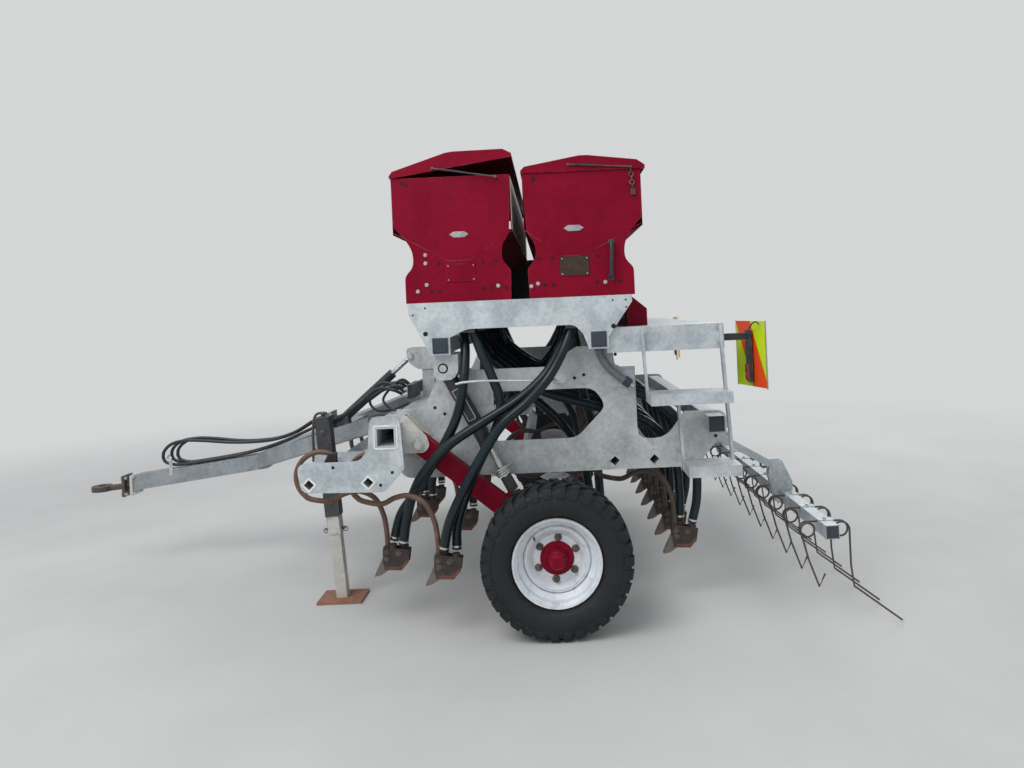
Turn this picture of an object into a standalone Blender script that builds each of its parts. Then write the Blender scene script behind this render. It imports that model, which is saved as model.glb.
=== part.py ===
"""Towed seed drill: two hoppers on a galvanised frame, four ranks of spring tines and a following harrow.

Metres, +Z up, +X towards the hitch eye, +Y to the machine's left.  Every place is given from the wheel
axle: x = 0 under the axle, z = 0 on the ground.  The empty `axle_datum` carries all pieces and puts the
row origin under the middle of the machine.
"""
import math

import bmesh
import bpy
from mathutils import Matrix, Vector

# ---------------------------------------------------------------- driving dimensions
GAP = 0.0003                 # clearance between pieces that touch
AXLE_X = -0.726              # axle, measured from the middle of the machine's length
HALF_WIDTH = 1.500           # transport width / 2

WHEEL_RADIUS = 0.375
TYRE_WIDTH = 0.260
RIM_RADIUS = 0.205
WHEEL_Y = HALF_WIDTH - TYRE_WIDTH / 2

PLATE_Y = 1.114              # inner face of the main side plates
PLATE_T = 0.012
FRONT_PLATE_Y = 1.385        # inner face of the outer front plates
INNER_PLATE_Y = 0.836        # inner face of the inner front plates

BEAM = 0.100                 # front beam, square
BEAM_WALL = 0.008
BEAM_X, BEAM_Z = 0.816, 1.008
TUBE = 0.080                 # cradle and rear beams, square
TUBE_WALL = 0.006
BAR = 0.050                  # diamond tine bars, square, on edge
BAR_WALL = 0.006
BAR_Z = 0.790

ROW = 1.0 / 6.0              # row spacing
COIL_RADIUS = 0.127
WIRE = 0.0135                # tine wire, radius
HOSE = 0.0235                # seed hose, radius

CRADLE_Y = 1.270             # inner face of the cradle plates
CRADLE_T = 0.010
CRADLE_TOP = 1.660
EAR_Z = 1.400                # the cradle beams rest at this height
CRADLE_FRONT_X, CRADLE_REAR_X = 0.545, -0.258

HOPPER_TOP = 2.295
OUTLET_Z = 1.825
SHEET = 0.004                # trough, lid and apron sheet
END_SHEET = 0.006            # hopper end plates
LID_DEPTH = 0.630

DECK_Z = 1.495
PLATFORM_REAR = -0.898
PLATFORM_SIDE = 1.250                  # outer face of the platform's side channels
LADDER_BAR = 0.034                     # width of the ladder's flat bars
LADDER_Y = PLATFORM_SIDE + GAP + LADDER_BAR / 2
REAR_BEAM_X, REAR_BEAM_Z = -0.842, 0.981

HITCH_PIVOT = (0.930, 1.000)           # x, z of the drawbar's hinge
LEG_Y = 0.750
BEND = (1.984, 0.663)
NOSE = (2.830, 0.559)
EYE_X, EYE_Z = 3.055, 0.525
SWIVEL_Z = 0.545                       # the hitch eye's swivel axis
SWIVEL_START = 0.0065                  # ahead of the nose's middle

ARM_PIVOT = (0.687, 0.940)
ARM_Y = 1.180
ARM_W, ARM_H = 0.070, 0.100
STUB_RADIUS, HUB_BORE = 0.0265, 0.0285
PIN, PIN_PLAY = 0.015, 0.001           # radius of the arm and drawbar pins, and the play round them
RAM_TOP = (0.543, 1.322)
RAM_EYE_REACH = 0.560                  # along the arm from its pivot
RAM_EYE_LIFT = 0.085                   # above the arm's centre line
RAM_EYE_W = 0.034

HARROW_PIVOT = (-0.911, 0.856)
HARROW_BAR = (-1.319, 0.480)
HARROW_ARM_Y = 0.750
HARROW_RAIL = 0.065
HARROW_WIRE = 0.005
HARROW_PIN, HARROW_BORE = 0.012, 0.0128
HARROW_FIRST, HARROW_SPACING, HARROW_COUNT = -1.424, 0.256, 12
COIL_STEPS, COIL_PITCH = 8, 0.004      # parts of a harrow coil, and its sideways step at each
# middle of the coil, its radius, +1 behind the rail or -1 ahead of it, leg points
HARROW_ROWS = [
    ((-1.392, 0.470), 0.036, 1, [(-1.428, 0.300), (-1.440, 0.192), (-1.667, 0.017)]),
    ((-1.226, 0.470), 0.036, -1, [(-1.222, 0.335), (-1.270, 0.197), (-1.300, 0.258)]),
]

JACK_X, JACK_Y = 1.290, 0.776
JACK_TUBE = 0.080
JACK_BORE, JACK_LEG = 0.062, 0.061     # square bore of the tube, and the leg that slides in it
JACK_CLAMP_Z = 0.800                   # height at which the leaning tube is held
JACK_LEAN = 4.0                        # degrees, foot towards the axle

LINK_FOOT = (1.400, 0.930)             # top link's pin on the drawbar
LINK_HEAD = (0.930, 1.330)             # top link's pin on the headstock
HOSE_PLATE_X = 1.448                   # front face of the plate that holds the parked hoses
HYDRAULIC_RADIUS = 0.0105

# name: base colour, metallic, roughness
FINISHES = {
    "galvanised": ((0.52, 0.55, 0.57), 0.7, 0.5),
    "crimson": ((0.33, 0.01, 0.03), 0.0, 0.35),
    "black_paint": ((0.02, 0.02, 0.025), 0.0, 0.45),
    "spring_steel": ((0.16, 0.08, 0.045), 0.5, 0.6),
    "opener_steel": ((0.10, 0.06, 0.045), 0.5, 0.65),
    "hose": ((0.012, 0.035, 0.035), 0.0, 0.4),
    "hydraulic_hose": ((0.015, 0.017, 0.02), 0.0, 0.45),
    "rubber": ((0.03, 0.03, 0.033), 0.0, 0.85),
    "silver_paint": ((0.68, 0.69, 0.68), 0.4, 0.45),
    "chrome": ((0.75, 0.75, 0.75), 1.0, 0.2),
    "brown_steel": ((0.09, 0.07, 0.06), 0.5, 0.6),
    "marker_film": ((0.75, 0.85, 0.05), 0.0, 0.4),
}

for leftover in list(bpy.data.objects):
    bpy.data.objects.remove(leftover, do_unlink=True)

drill = bpy.data.collections.new("seed_drill")
bpy.context.scene.collection.children.link(drill)
datum = bpy.data.objects.new("axle_datum", None)
datum.location = (AXLE_X, 0.0, 0.0)
drill.objects.link(datum)


# ---------------------------------------------------------------- tools
def make_finish(name):
    """A Principled material from the table above."""
    colour, metallic, roughness = FINISHES[name]
    material = bpy.data.materials.new(name)
    material.use_nodes = True
    shader = material.node_tree.nodes["Principled BSDF"]
    shader.inputs["Base Color"].default_value = (*colour, 1.0)
    shader.inputs["Metallic"].default_value = metallic
    shader.inputs["Roughness"].default_value = roughness
    material.diffuse_color = (*colour, 1.0)
    return material


MATERIALS = {name: make_finish(name) for name in FINISHES}


def as_mesh(source):
    """Replace an object by a plain closed mesh of its evaluated shape, in world coordinates."""
    bpy.context.view_layer.update()
    evaluated = source.evaluated_get(bpy.context.evaluated_depsgraph_get())
    mesh = bpy.data.meshes.new_from_object(evaluated)
    mesh.transform(source.matrix_world)
    bpy.data.objects.remove(source, do_unlink=True)
    shape = bmesh.new()
    shape.from_mesh(mesh)
    bmesh.ops.remove_doubles(shape, verts=shape.verts, dist=0.00002)
    bmesh.ops.recalc_face_normals(shape, faces=shape.faces)
    shape.to_mesh(mesh)
    shape.free()
    result = bpy.data.objects.new("shape", mesh)
    drill.objects.link(result)
    return result


def combine(base, tools, operation="UNION"):
    """One exact Boolean for each tool, then one plain mesh."""
    for tool in tools:
        step = base.modifiers.new(operation.lower(), "BOOLEAN")
        step.operation = operation
        step.object = tool
        step.solver = "EXACT"
    result = as_mesh(base)
    for tool in tools:
        bpy.data.objects.remove(tool, do_unlink=True)
    return result


def cluster(pieces):
    """Several shapes that don't touch, gathered in one object to be used as one tool."""
    shape = bmesh.new()
    for piece in pieces:
        shape.from_mesh(piece.data)
        bpy.data.objects.remove(piece, do_unlink=True)
    mesh = bpy.data.meshes.new("cluster")
    shape.to_mesh(mesh)
    shape.free()
    result = bpy.data.objects.new("cluster", mesh)
    drill.objects.link(result)
    return result


def copy_at(piece, offset=(0.0, 0.0, 0.0), mirror=False):
    """A copy of a plain mesh, moved, or mirrored across the machine's middle first."""
    mesh = piece.data.copy()
    if mirror:
        mesh.transform(Matrix.Scale(-1.0, 4, (0.0, 1.0, 0.0)))
        mesh.flip_normals()
    mesh.transform(Matrix.Translation(offset))
    result = bpy.data.objects.new("copy", mesh)
    drill.objects.link(result)
    return result


def turn_about(piece, pivot, degrees):
    """Turn a plain mesh about the Y axis through pivot (x, z)."""
    centre = Vector((pivot[0], 0.0, pivot[1]))
    turn = Matrix.Rotation(math.radians(degrees), 4, "Y")
    piece.data.transform(Matrix.Translation(centre) @ turn @ Matrix.Translation(-centre))
    return piece


def box(low, high):
    """A block between two corners."""
    bpy.ops.mesh.primitive_cube_add(size=1.0)
    block = bpy.context.object
    size = [h - l for l, h in zip(low, high)]
    middle = [(h + l) / 2 for l, h in zip(low, high)]
    block.data.transform(Matrix.Translation(middle) @ Matrix.Diagonal((*size, 1.0)))
    return adopt(block)


def adopt(piece):
    """Move an object made by an operator into the drill's collection."""
    for holder in list(piece.users_collection):
        holder.objects.unlink(piece)
    drill.objects.link(piece)
    return piece


def beam_between(start, end, width, height):
    """A solid bar of width across and height up, between two points on its centre line."""
    start, end = Vector(start), Vector(end)
    run = end - start
    bar = box((0.0, -width / 2, -height / 2), (run.length, width / 2, height / 2))
    along = run.normalized()
    side = Vector((0.0, 0.0, 1.0)).cross(along).normalized()
    up = along.cross(side)
    place = Matrix((along, side, up)).transposed().to_4x4()
    bar.data.transform(Matrix.Translation(start) @ place)
    return bar


def cylinder(radius, start, end, sides=16):
    """A round bar between two points."""
    start, end = Vector(start), Vector(end)
    run = end - start
    bpy.ops.mesh.primitive_cylinder_add(vertices=sides, radius=radius, depth=run.length)
    bar = bpy.context.object
    turn = run.to_track_quat("Z", "Y").to_matrix().to_4x4()
    bar.data.transform(Matrix.Translation((start + end) / 2) @ turn)
    return adopt(bar)


def arc_corners(outline, steps=3):
    """Corner points (x, z) or (x, z, radius) to a closed outline with each radius as an arc."""
    points = []
    count = len(outline)
    for index, corner in enumerate(outline):
        here = Vector(corner[:2])
        if len(corner) < 3:
            points.append(here)
            continue
        back = (Vector(outline[index - 1][:2]) - here)
        ahead = (Vector(outline[(index + 1) % count][:2]) - here)
        reach = min(corner[2], 0.48 * back.length, 0.48 * ahead.length)
        first, last = here + back.normalized() * reach, here + ahead.normalized() * reach
        for step in range(steps + 1):
            t = step / steps
            points.append(first * (1 - t) ** 2 + here * 2 * t * (1 - t) + last * t ** 2)
    return points


def plate(outline, y_low, y_high, holes=()):
    """A flat outline in x and z, cut with holes, filling y_low to y_high."""
    curve = bpy.data.curves.new("plate", "CURVE")
    curve.dimensions = "2D"
    curve.fill_mode = "BOTH"
    curve.extrude = (y_high - y_low) / 2
    for loop in (outline, *holes):
        corners = arc_corners(loop)
        spline = curve.splines.new("POLY")
        spline.points.add(len(corners) - 1)
        for point, (x, z) in zip(spline.points, corners):
            point.co = (x, z, 0.0, 1.0)
        spline.use_cyclic_u = True
    flat = bpy.data.objects.new("plate", curve)
    flat.rotation_euler = (math.radians(90.0), 0.0, 0.0)
    flat.location = (0.0, (y_low + y_high) / 2, 0.0)
    drill.objects.link(flat)
    return as_mesh(flat)


def square(x, z, size):
    """Outline of an upright square."""
    h = size / 2
    return [(x - h, z - h), (x + h, z - h), (x + h, z + h), (x - h, z + h)]


def diamond(x, z, size):
    """Outline of a square standing on its corner."""
    h = size / math.sqrt(2.0)
    return [(x - h, z), (x, z - h), (x + h, z), (x, z + h)]


def ring(x, z, radius, sides=16):
    """Outline of a circle."""
    turns = [2 * math.pi * step / sides for step in range(sides)]
    return [(x + radius * math.cos(t), z + radius * math.sin(t)) for t in turns]


def smooth_route(points, per_span=2):
    """Points of a Catmull-Rom curve through the given points."""
    knots = [Vector(p) for p in points]
    knots = [2 * knots[0] - knots[1], *knots, 2 * knots[-1] - knots[-2]]
    route = []
    for a, b, c, d in zip(knots, knots[1:], knots[2:], knots[3:]):
        for step in range(per_span):
            t = step / per_span
            route.append(0.5 * (2 * b + (c - a) * t + (2 * a - 5 * b + 4 * c - d) * t * t
                                + (3 * b - a - 3 * c + d) * t ** 3))
    route.append(knots[-2])
    return route


def rod(points, radius, resolution=0):
    """A round wire or hose through points; resolution 0 has 4 sides and 1 has 6."""
    curve = bpy.data.curves.new("rod", "CURVE")
    curve.dimensions = "3D"
    curve.bevel_depth = radius
    curve.bevel_resolution = resolution
    curve.use_fill_caps = True
    spline = curve.splines.new("POLY")
    spline.points.add(len(points) - 1)
    for point, place in zip(spline.points, points):
        point.co = (*place, 1.0)
    wire = bpy.data.objects.new("rod", curve)
    drill.objects.link(wire)
    return as_mesh(wire)


def turned(profile, y_centre, x=0.0, z=0.0, steps=32):
    """A closed profile of (radius, y offset) turned about the Y axis through (x, z)."""
    mesh = bpy.data.meshes.new("profile")
    edges = [(i, (i + 1) % len(profile)) for i in range(len(profile))]
    mesh.from_pydata([(r, 0.0, y) for r, y in profile], edges, [])
    shape = bpy.data.objects.new("turned", mesh)
    drill.objects.link(shape)
    screw = shape.modifiers.new("screw", "SCREW")
    screw.steps = screw.render_steps = steps
    screw.use_merge_vertices = True
    screw.merge_threshold = 0.0001
    shape.rotation_euler = (math.radians(-90.0), 0.0, 0.0)
    shape.location = (x, y_centre, z)
    return as_mesh(shape)


def place(shape, name, finish, origin=(0.0, 0.0, 0.0), smooth=False):
    """Name a finished piece, put its origin where it turns, and hang it on the datum."""
    shape.data.transform(Matrix.Translation([-c for c in origin]))
    shape.location = origin
    shape.name = name
    shape.data.name = name
    shape.data.materials.clear()
    shape.data.materials.append(MATERIALS[finish])
    if smooth:
        shape.data.shade_smooth()
        shape.data.set_sharp_from_angle(angle=math.radians(40.0))
    shape.parent = datum
    return shape


def place_pair(shape, name, finish, origin=(0.0, 0.0, 0.0), smooth=False):
    """The left piece and its mirror image on the right."""
    other = copy_at(shape, mirror=True)
    place(shape, name + "_left", finish, origin, smooth)
    place(other, name + "_right", finish, (origin[0], -origin[1], origin[2]), smooth)


# ---------------------------------------------------------------- tine ranks
# name, x of the bar, half length of the bar, rows that it carries, counted in row spacings
FRONT_BAR_END = FRONT_PLATE_Y + PLATE_T + 0.002
REAR_BAR_END = PLATE_Y + PLATE_T + 0.002
RANKS = [
    ("tine_rank_1", 1.201, FRONT_BAR_END, (-7, -1, 1, 7)),
    ("tine_rank_2", 0.910, FRONT_BAR_END, (-8, -3, 3, 8)),
    ("tine_rank_3", 0.150, PLATE_Y - GAP, (-5, 5)),
    ("tine_rank_4", -0.325, REAR_BAR_END, (-6, -4, -2, 0, 2, 4, 6)),
]
REAR_DIAMOND_X = -0.533
BAR_HOLE = BAR + 2 * GAP
# boot outline from the bar's centre: tip, point, top and the heel that carries the hose sockets
BOOT = [(-0.245, -0.537), (-0.300, -0.400), (-0.304, -0.374), (-0.444, -0.400),
        (-0.431, -0.467), (-0.394, -0.506), (-0.316, -0.500)]
SOCKETS = ((-0.350, -0.366), (-0.408, -0.376))      # hose ends from the bar's centre
COIL_SHIFT = 0.038                     # coil beside its row, towards the middle of the machine
OUTWARD_ROWS = (7,)                    # rows whose coil lies on the outer side instead


def tine():
    """One coil tine with its clamp and boot, about a bar centre at the origin of x, y and z."""
    turns = [math.radians(a) for a in range(125, -80, -29)]
    coil = [(COIL_RADIUS * math.cos(t), COIL_RADIUS * math.sin(t)) for t in turns]
    leg = [(-0.040, -0.130), (-0.110, -0.100), (-0.185, -0.090), (-0.262, -0.130),
           (-0.304, -0.215), (-0.318, -0.300), (-0.322, -0.430)]
    points = [(x, -COIL_SHIFT, z) for x, z in coil]
    points += [(x, -COIL_SHIFT * max(0.0, 1 - (i + 1) / 4), z) for i, (x, z) in enumerate(leg)]
    wire = rod(points, WIRE)
    clamp = box((-0.085, -COIL_SHIFT - 0.025, -0.012), (-0.020, -COIL_SHIFT + 0.025, 0.120))
    boot = plate(BOOT, -0.030, 0.030)
    return combine(wire, [clamp, boot])


def tine_rank(name, bar_x, half_length, rows, pattern):
    """A hollow diamond bar with its tines."""
    bar = plate(diamond(bar_x, BAR_Z, BAR), -half_length, half_length,
                [diamond(bar_x, BAR_Z, BAR - 2 * BAR_WALL)])
    tines = []
    for row in rows:
        outward = abs(row) in OUTWARD_ROWS
        copied = copy_at(pattern, mirror=(row < 0) != outward)
        copied.data.transform(Matrix.Translation((bar_x, row * ROW, BAR_Z)))
        tines.append(copied)
    place(combine(bar, [cluster(tines)]), name, "spring_steel")


def build_tines():
    """All four ranks and the plain bar behind them."""
    pattern = tine()
    for name, bar_x, half_length, rows in RANKS:
        tine_rank(name, bar_x, half_length, rows, pattern)
    bpy.data.objects.remove(pattern, do_unlink=True)
    bar = plate(diamond(REAR_DIAMOND_X, BAR_Z, BAR), -REAR_BAR_END, REAR_BAR_END,
                [diamond(REAR_DIAMOND_X, BAR_Z, BAR - 2 * BAR_WALL)])
    place(bar, "rear_diamond_bar", "galvanised")


# ---------------------------------------------------------------- seed hoses
METER_FRONT = (0.360, 0.500)           # x range of each metering housing
METER_REAR = (-0.215, -0.080)
METER_BOTTOM = 1.500
HOSE_STEP = 0.027                      # each hose's offset from its row
# inner routes, (x, z) from the metering housing down; the socket is added at the end
INNER_ROUTES = {
    ("front", 0): [(0.430, 1.510), (0.430, 1.340), (0.450, 1.170), (0.520, 1.010), (0.640, 0.830),
                   (0.780, 0.640), (0.848, 0.520)],
    ("rear", 0): [(-0.120, 1.510), (-0.070, 1.340), (0.070, 1.190), (0.300, 1.060), (0.520, 0.930),
                  (0.700, 0.740), (0.788, 0.540)],
    ("front", 1): [(0.400, 1.510), (0.330, 1.340), (0.265, 1.200), (0.250, 1.080), (0.330, 0.930),
                   (0.440, 0.740), (0.500, 0.540)],
    ("rear", 1): [(-0.120, 1.510), (-0.045, 1.330), (0.080, 1.180), (0.240, 1.050), (0.350, 0.910),
                  (0.460, 0.720), (0.548, 0.540)],
    ("front", 2): [(0.410, 1.510), (0.330, 1.340), (0.160, 1.160), (-0.030, 0.980), (-0.150, 0.800),
                   (-0.190, 0.620)],
    ("rear", 2): [(-0.130, 1.510), (-0.150, 1.340), (-0.190, 1.100), (-0.236, 0.900), (-0.250, 0.640)],
    ("front", 3): [(0.420, 1.510), (0.300, 1.330), (0.050, 1.160), (-0.250, 1.060), (-0.530, 0.960),
                   (-0.655, 0.780), (-0.680, 0.580)],
    ("rear", 3): [(-0.130, 1.510), (-0.180, 1.330), (-0.350, 1.180), (-0.560, 1.090), (-0.710, 0.940),
                  (-0.765, 0.760), (-0.765, 0.560)],
}
# outer routes pass outside the side plates: (x, y, z)
OUTER_ROUTES = {
    ("front", 0): [(0.440, 1.150, 1.510), (0.430, 1.200, 1.400), (0.440, 1.246, 1.250),
                   (0.480, 1.248, 1.080), (0.555, 1.248, 0.930), (0.640, 1.246, 0.800),
                   (0.730, 1.185, 0.670), (0.810, 1.142, 0.560)],
    ("rear", 0): [(-0.110, 1.150, 1.510), (-0.060, 1.210, 1.400), (0.020, 1.290, 1.275),
                  (0.160, 1.300, 1.155), (0.360, 1.300, 1.040), (0.520, 1.300, 0.940),
                  (0.650, 1.290, 0.810), (0.725, 1.242, 0.680), (0.770, 1.198, 0.540)],
    ("front", 1): [(0.385, 1.212, 1.510), (0.345, 1.235, 1.400), (0.290, 1.246, 1.260),
                   (0.255, 1.248, 1.130), (0.290, 1.250, 0.990), (0.380, 1.262, 0.830),
                   (0.455, 1.290, 0.660), (0.495, 1.305, 0.530)],
    ("rear", 1): [(-0.125, 1.220, 1.510), (-0.080, 1.270, 1.400), (0.000, 1.345, 1.270),
                  (0.110, 1.355, 1.150), (0.245, 1.357, 1.040), (0.345, 1.358, 0.900),
                  (0.440, 1.358, 0.740), (0.525, 1.360, 0.570)],
}


def hose_route(side, rank, row):
    """Points of one hose, from its metering housing to its socket."""
    bar_x = RANKS[rank][1]
    socket = SOCKETS[0] if (side == "front") == (rank in (0, 2, 3)) else SOCKETS[1]
    shift = HOSE_STEP if side == "rear" else -HOSE_STEP
    direction = -1.0 if row < 0 else 1.0
    end_y = abs(row) * ROW + shift
    if abs(row) > 6:
        points = list(OUTER_ROUTES[side, rank])
    else:
        points = [(x, end_y, z) for x, z in INNER_ROUTES[side, rank]]
    points.append((bar_x + socket[0], end_y, BAR_Z + socket[1] + 0.006))
    return [(x, direction * y, z) for x, y, z in points]


def seed_hoses(side, x_range):
    """A metering housing with one hose to every row, joined as one piece."""
    housing = box((x_range[0], -1.255, METER_BOTTOM), (x_range[1], 1.255, OUTLET_Z - GAP))
    hoses = []
    for rank, (_, _, _, rows) in enumerate(RANKS):
        hoses += [rod(smooth_route(hose_route(side, rank, row), 1), HOSE) for row in rows]
    place(combine(housing, [cluster(hoses)]), "seed_hoses_" + side, "hose")


# ---------------------------------------------------------------- frame
def build_plates():
    """The laser-cut side plates with their tube and bar holes."""
    main = [(0.780, 0.745, 0.04), (0.880, 0.900), (0.880, 1.075, 0.02), (0.660, 1.120, 0.06),
            (0.600, 1.250), (0.600, EAR_Z, 0.05), (0.455, EAR_Z), (0.455, 1.330, 0.03), (0.400, 1.300),
            (-0.020, 1.300), (-0.110, 1.380), (-0.150, EAR_Z), (-0.335, EAR_Z, 0.02), (-0.345, 1.284, 0.03),
            (-0.450, 1.284), (-0.450, 0.900, 0.06), (-0.600, 0.900, 0.06), (-0.700, 1.035),
            (-0.910, 1.035, 0.04), (-0.930, 0.950), (-0.756, 0.745, 0.03)]
    slot = [(0.300, 1.180), (-0.230, 1.180, 0.05), (-0.290, 1.080, 0.04), (-0.130, 0.920, 0.04),
            (0.300, 0.920)]
    holes = [slot, square(BEAM_X, BEAM_Z, BEAM + 2 * GAP), square(REAR_BEAM_X, REAR_BEAM_Z, TUBE + 2 * GAP)]
    holes += [diamond(RANKS[3][1], BAR_Z, BAR_HOLE), diamond(REAR_DIAMOND_X, BAR_Z, BAR_HOLE)]
    place_pair(plate(main, PLATE_Y, PLATE_Y + PLATE_T, holes), "main_plate", "galvanised")

    front = [(0.830, 0.740, 0.02), (1.240, 0.750, 0.04), (1.262, 0.895, 0.05), (0.945, 0.895, 0.04),
             (0.905, 0.960), (0.893, 1.110, 0.04), (0.745, 1.110, 0.04), (0.730, 0.850)]
    front_holes = [square(BEAM_X, BEAM_Z, BEAM + 2 * GAP), diamond(RANKS[0][1], BAR_Z, BAR_HOLE),
                   diamond(RANKS[1][1], BAR_Z, BAR_HOLE)]
    place_pair(plate(front, FRONT_PLATE_Y, FRONT_PLATE_Y + PLATE_T, front_holes),
               "front_plate", "galvanised")

    inner = [(0.830, 0.740, 0.02), (1.345, 0.740, 0.03), (1.345, 0.848, 0.03), (0.985, 0.848),
             (0.872, 0.870), (0.872, 1.075, 0.01), (0.750, 1.075), (0.740, 0.850)]
    inner_holes = [square(BEAM_X, BEAM_Z, BEAM + 2 * GAP), diamond(RANKS[0][1], BAR_Z, BAR_HOLE),
                   diamond(RANKS[1][1], BAR_Z, BAR_HOLE)]
    place_pair(plate(inner, INNER_PLATE_Y, INNER_PLATE_Y + PLATE_T, inner_holes),
               "inner_front_plate", "galvanised")

    lug = TUBE / 2 + 0.010
    cradle = [(0.705, CRADLE_TOP), (-0.435, CRADLE_TOP), (-0.434, 1.625), (CRADLE_REAR_X - lug, 1.450),
              (CRADLE_REAR_X - lug, 1.392), (CRADLE_REAR_X + lug, 1.392), (-0.180, 1.470),
              (-0.140, 1.518, 0.03),
              (0.410, 1.520, 0.03), (CRADLE_FRONT_X - lug, 1.480), (CRADLE_FRONT_X - lug, 1.392),
              (CRADLE_FRONT_X + lug, 1.392), (0.697, 1.598)]
    cradle_z = EAR_Z + GAP + TUBE / 2
    tubes = [square(x, cradle_z, TUBE + 2 * GAP) for x in (CRADLE_FRONT_X, CRADLE_REAR_X)]
    place_pair(plate(cradle, CRADLE_Y, CRADLE_Y + CRADLE_T, tubes), "cradle_plate", "galvanised")
    for name, x in (("cradle_beam_front", CRADLE_FRONT_X), ("cradle_beam_rear", CRADLE_REAR_X)):
        half = CRADLE_Y + CRADLE_T + 0.004
        beam = plate(square(x, cradle_z, TUBE), -half, half, [square(x, cradle_z, TUBE - 2 * TUBE_WALL)])
        place(beam, name, "galvanised")


def build_front_beam():
    """The square front beam with the two clevises that carry the drawbar."""
    half = FRONT_PLATE_Y + PLATE_T + 0.003
    beam = plate(square(BEAM_X, BEAM_Z, BEAM), -half, half, [square(BEAM_X, BEAM_Z, BEAM - 2 * BEAM_WALL)])
    face = BEAM_X + BEAM / 2
    x, z = HITCH_PIVOT
    ear = [(face - 0.004, z - 0.045), (x + 0.010, z - 0.045, 0.02), (x + 0.045, z, 0.03),
           (x + 0.010, z + 0.045, 0.02), (face - 0.004, z + 0.045)]
    ears = [plate(ear, LEG_Y + low, LEG_Y + low + PLATE_T) for low in (-0.060, 0.048)]
    pin = cylinder(PIN, (x, LEG_Y - 0.055, z), (x, LEG_Y + 0.055, z))
    clevis = combine(ears[0], [pin, ears[1]])
    other = copy_at(clevis, mirror=True)
    place(combine(beam, [clevis, other]), "front_beam", "galvanised")


def build_rear_beam():
    """The rear beam with the ears that carry the harrow."""
    half = 1.250
    beam = plate(square(REAR_BEAM_X, REAR_BEAM_Z, TUBE), -half, half,
                 [square(REAR_BEAM_X, REAR_BEAM_Z, TUBE - 2 * TUBE_WALL)])
    x, z = HARROW_PIVOT
    under = REAR_BEAM_Z - TUBE / 2
    ear = [(REAR_BEAM_X + 0.030, under + 0.003), (REAR_BEAM_X - 0.038, under + 0.003),
           (x - 0.028, z + 0.010), (x - 0.020, z - 0.028), (x + 0.020, z - 0.028)]
    ears = [plate(ear, HARROW_ARM_Y + low, HARROW_ARM_Y + low + 0.010) for low in (-0.034, 0.024)]
    pin = cylinder(HARROW_PIN, (x, HARROW_ARM_Y - 0.030, z), (x, HARROW_ARM_Y + 0.030, z))
    clevis = combine(ears[0], [pin, ears[1]])
    other = copy_at(clevis, mirror=True)
    place(combine(beam, [clevis, other]), "rear_beam", "galvanised")


def build_headstock():
    """The post and cheeks that hold the top link above the front beam."""
    post = box((BEAM_X - 0.040, -0.040, BEAM_Z + BEAM / 2 + GAP), (BEAM_X + 0.040, 0.040, 1.300))
    back = CRADLE_FRONT_X + TUBE / 2 + GAP
    cheek = [(0.960, 1.385, 0.03), (0.945, 1.285, 0.03), (0.880, 1.240), (0.740, 1.240), (back, 1.410),
             (back, 1.470), (0.700, 1.440), (0.760, 1.385)]
    cheeks = [plate(cheek, low, low + 0.010) for low in (-0.048, 0.038)]
    place(combine(post, cheeks), "headstock", "galvanised")


def build_arm_brackets():
    """The cheeks behind the front beam that hold each wheel arm."""
    back = BEAM_X - BEAM / 2 - GAP
    x, z = ARM_PIVOT
    cheek = [(back, 1.090), (0.740, 1.085), (0.645, 0.980), (0.628, 0.930, 0.02), (0.656, 0.893, 0.02),
             (back, 0.896)]
    low, high = ARM_Y - ARM_W / 2 - 0.013, ARM_Y + ARM_W / 2 + 0.005
    cheeks = [plate(cheek, y, y + 0.008) for y in (low, high)]
    web = box((back - 0.008, low + 0.004, 0.900), (back, high + 0.004, 1.086))
    bolt = cylinder(PIN, (x, low - 0.004, z), (x, high + 0.016, z))
    place_pair(combine(cheeks[0], [web, bolt, cheeks[1]]), "arm_bracket", "galvanised")


# ---------------------------------------------------------------- hoppers and lids
# name, x of the front wall, x of the rear wall, x of the outlet's middle
HOPPERS = [("front", 0.763, 0.160, 0.430), ("rear", 0.098, -0.505, -0.147)]


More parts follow.
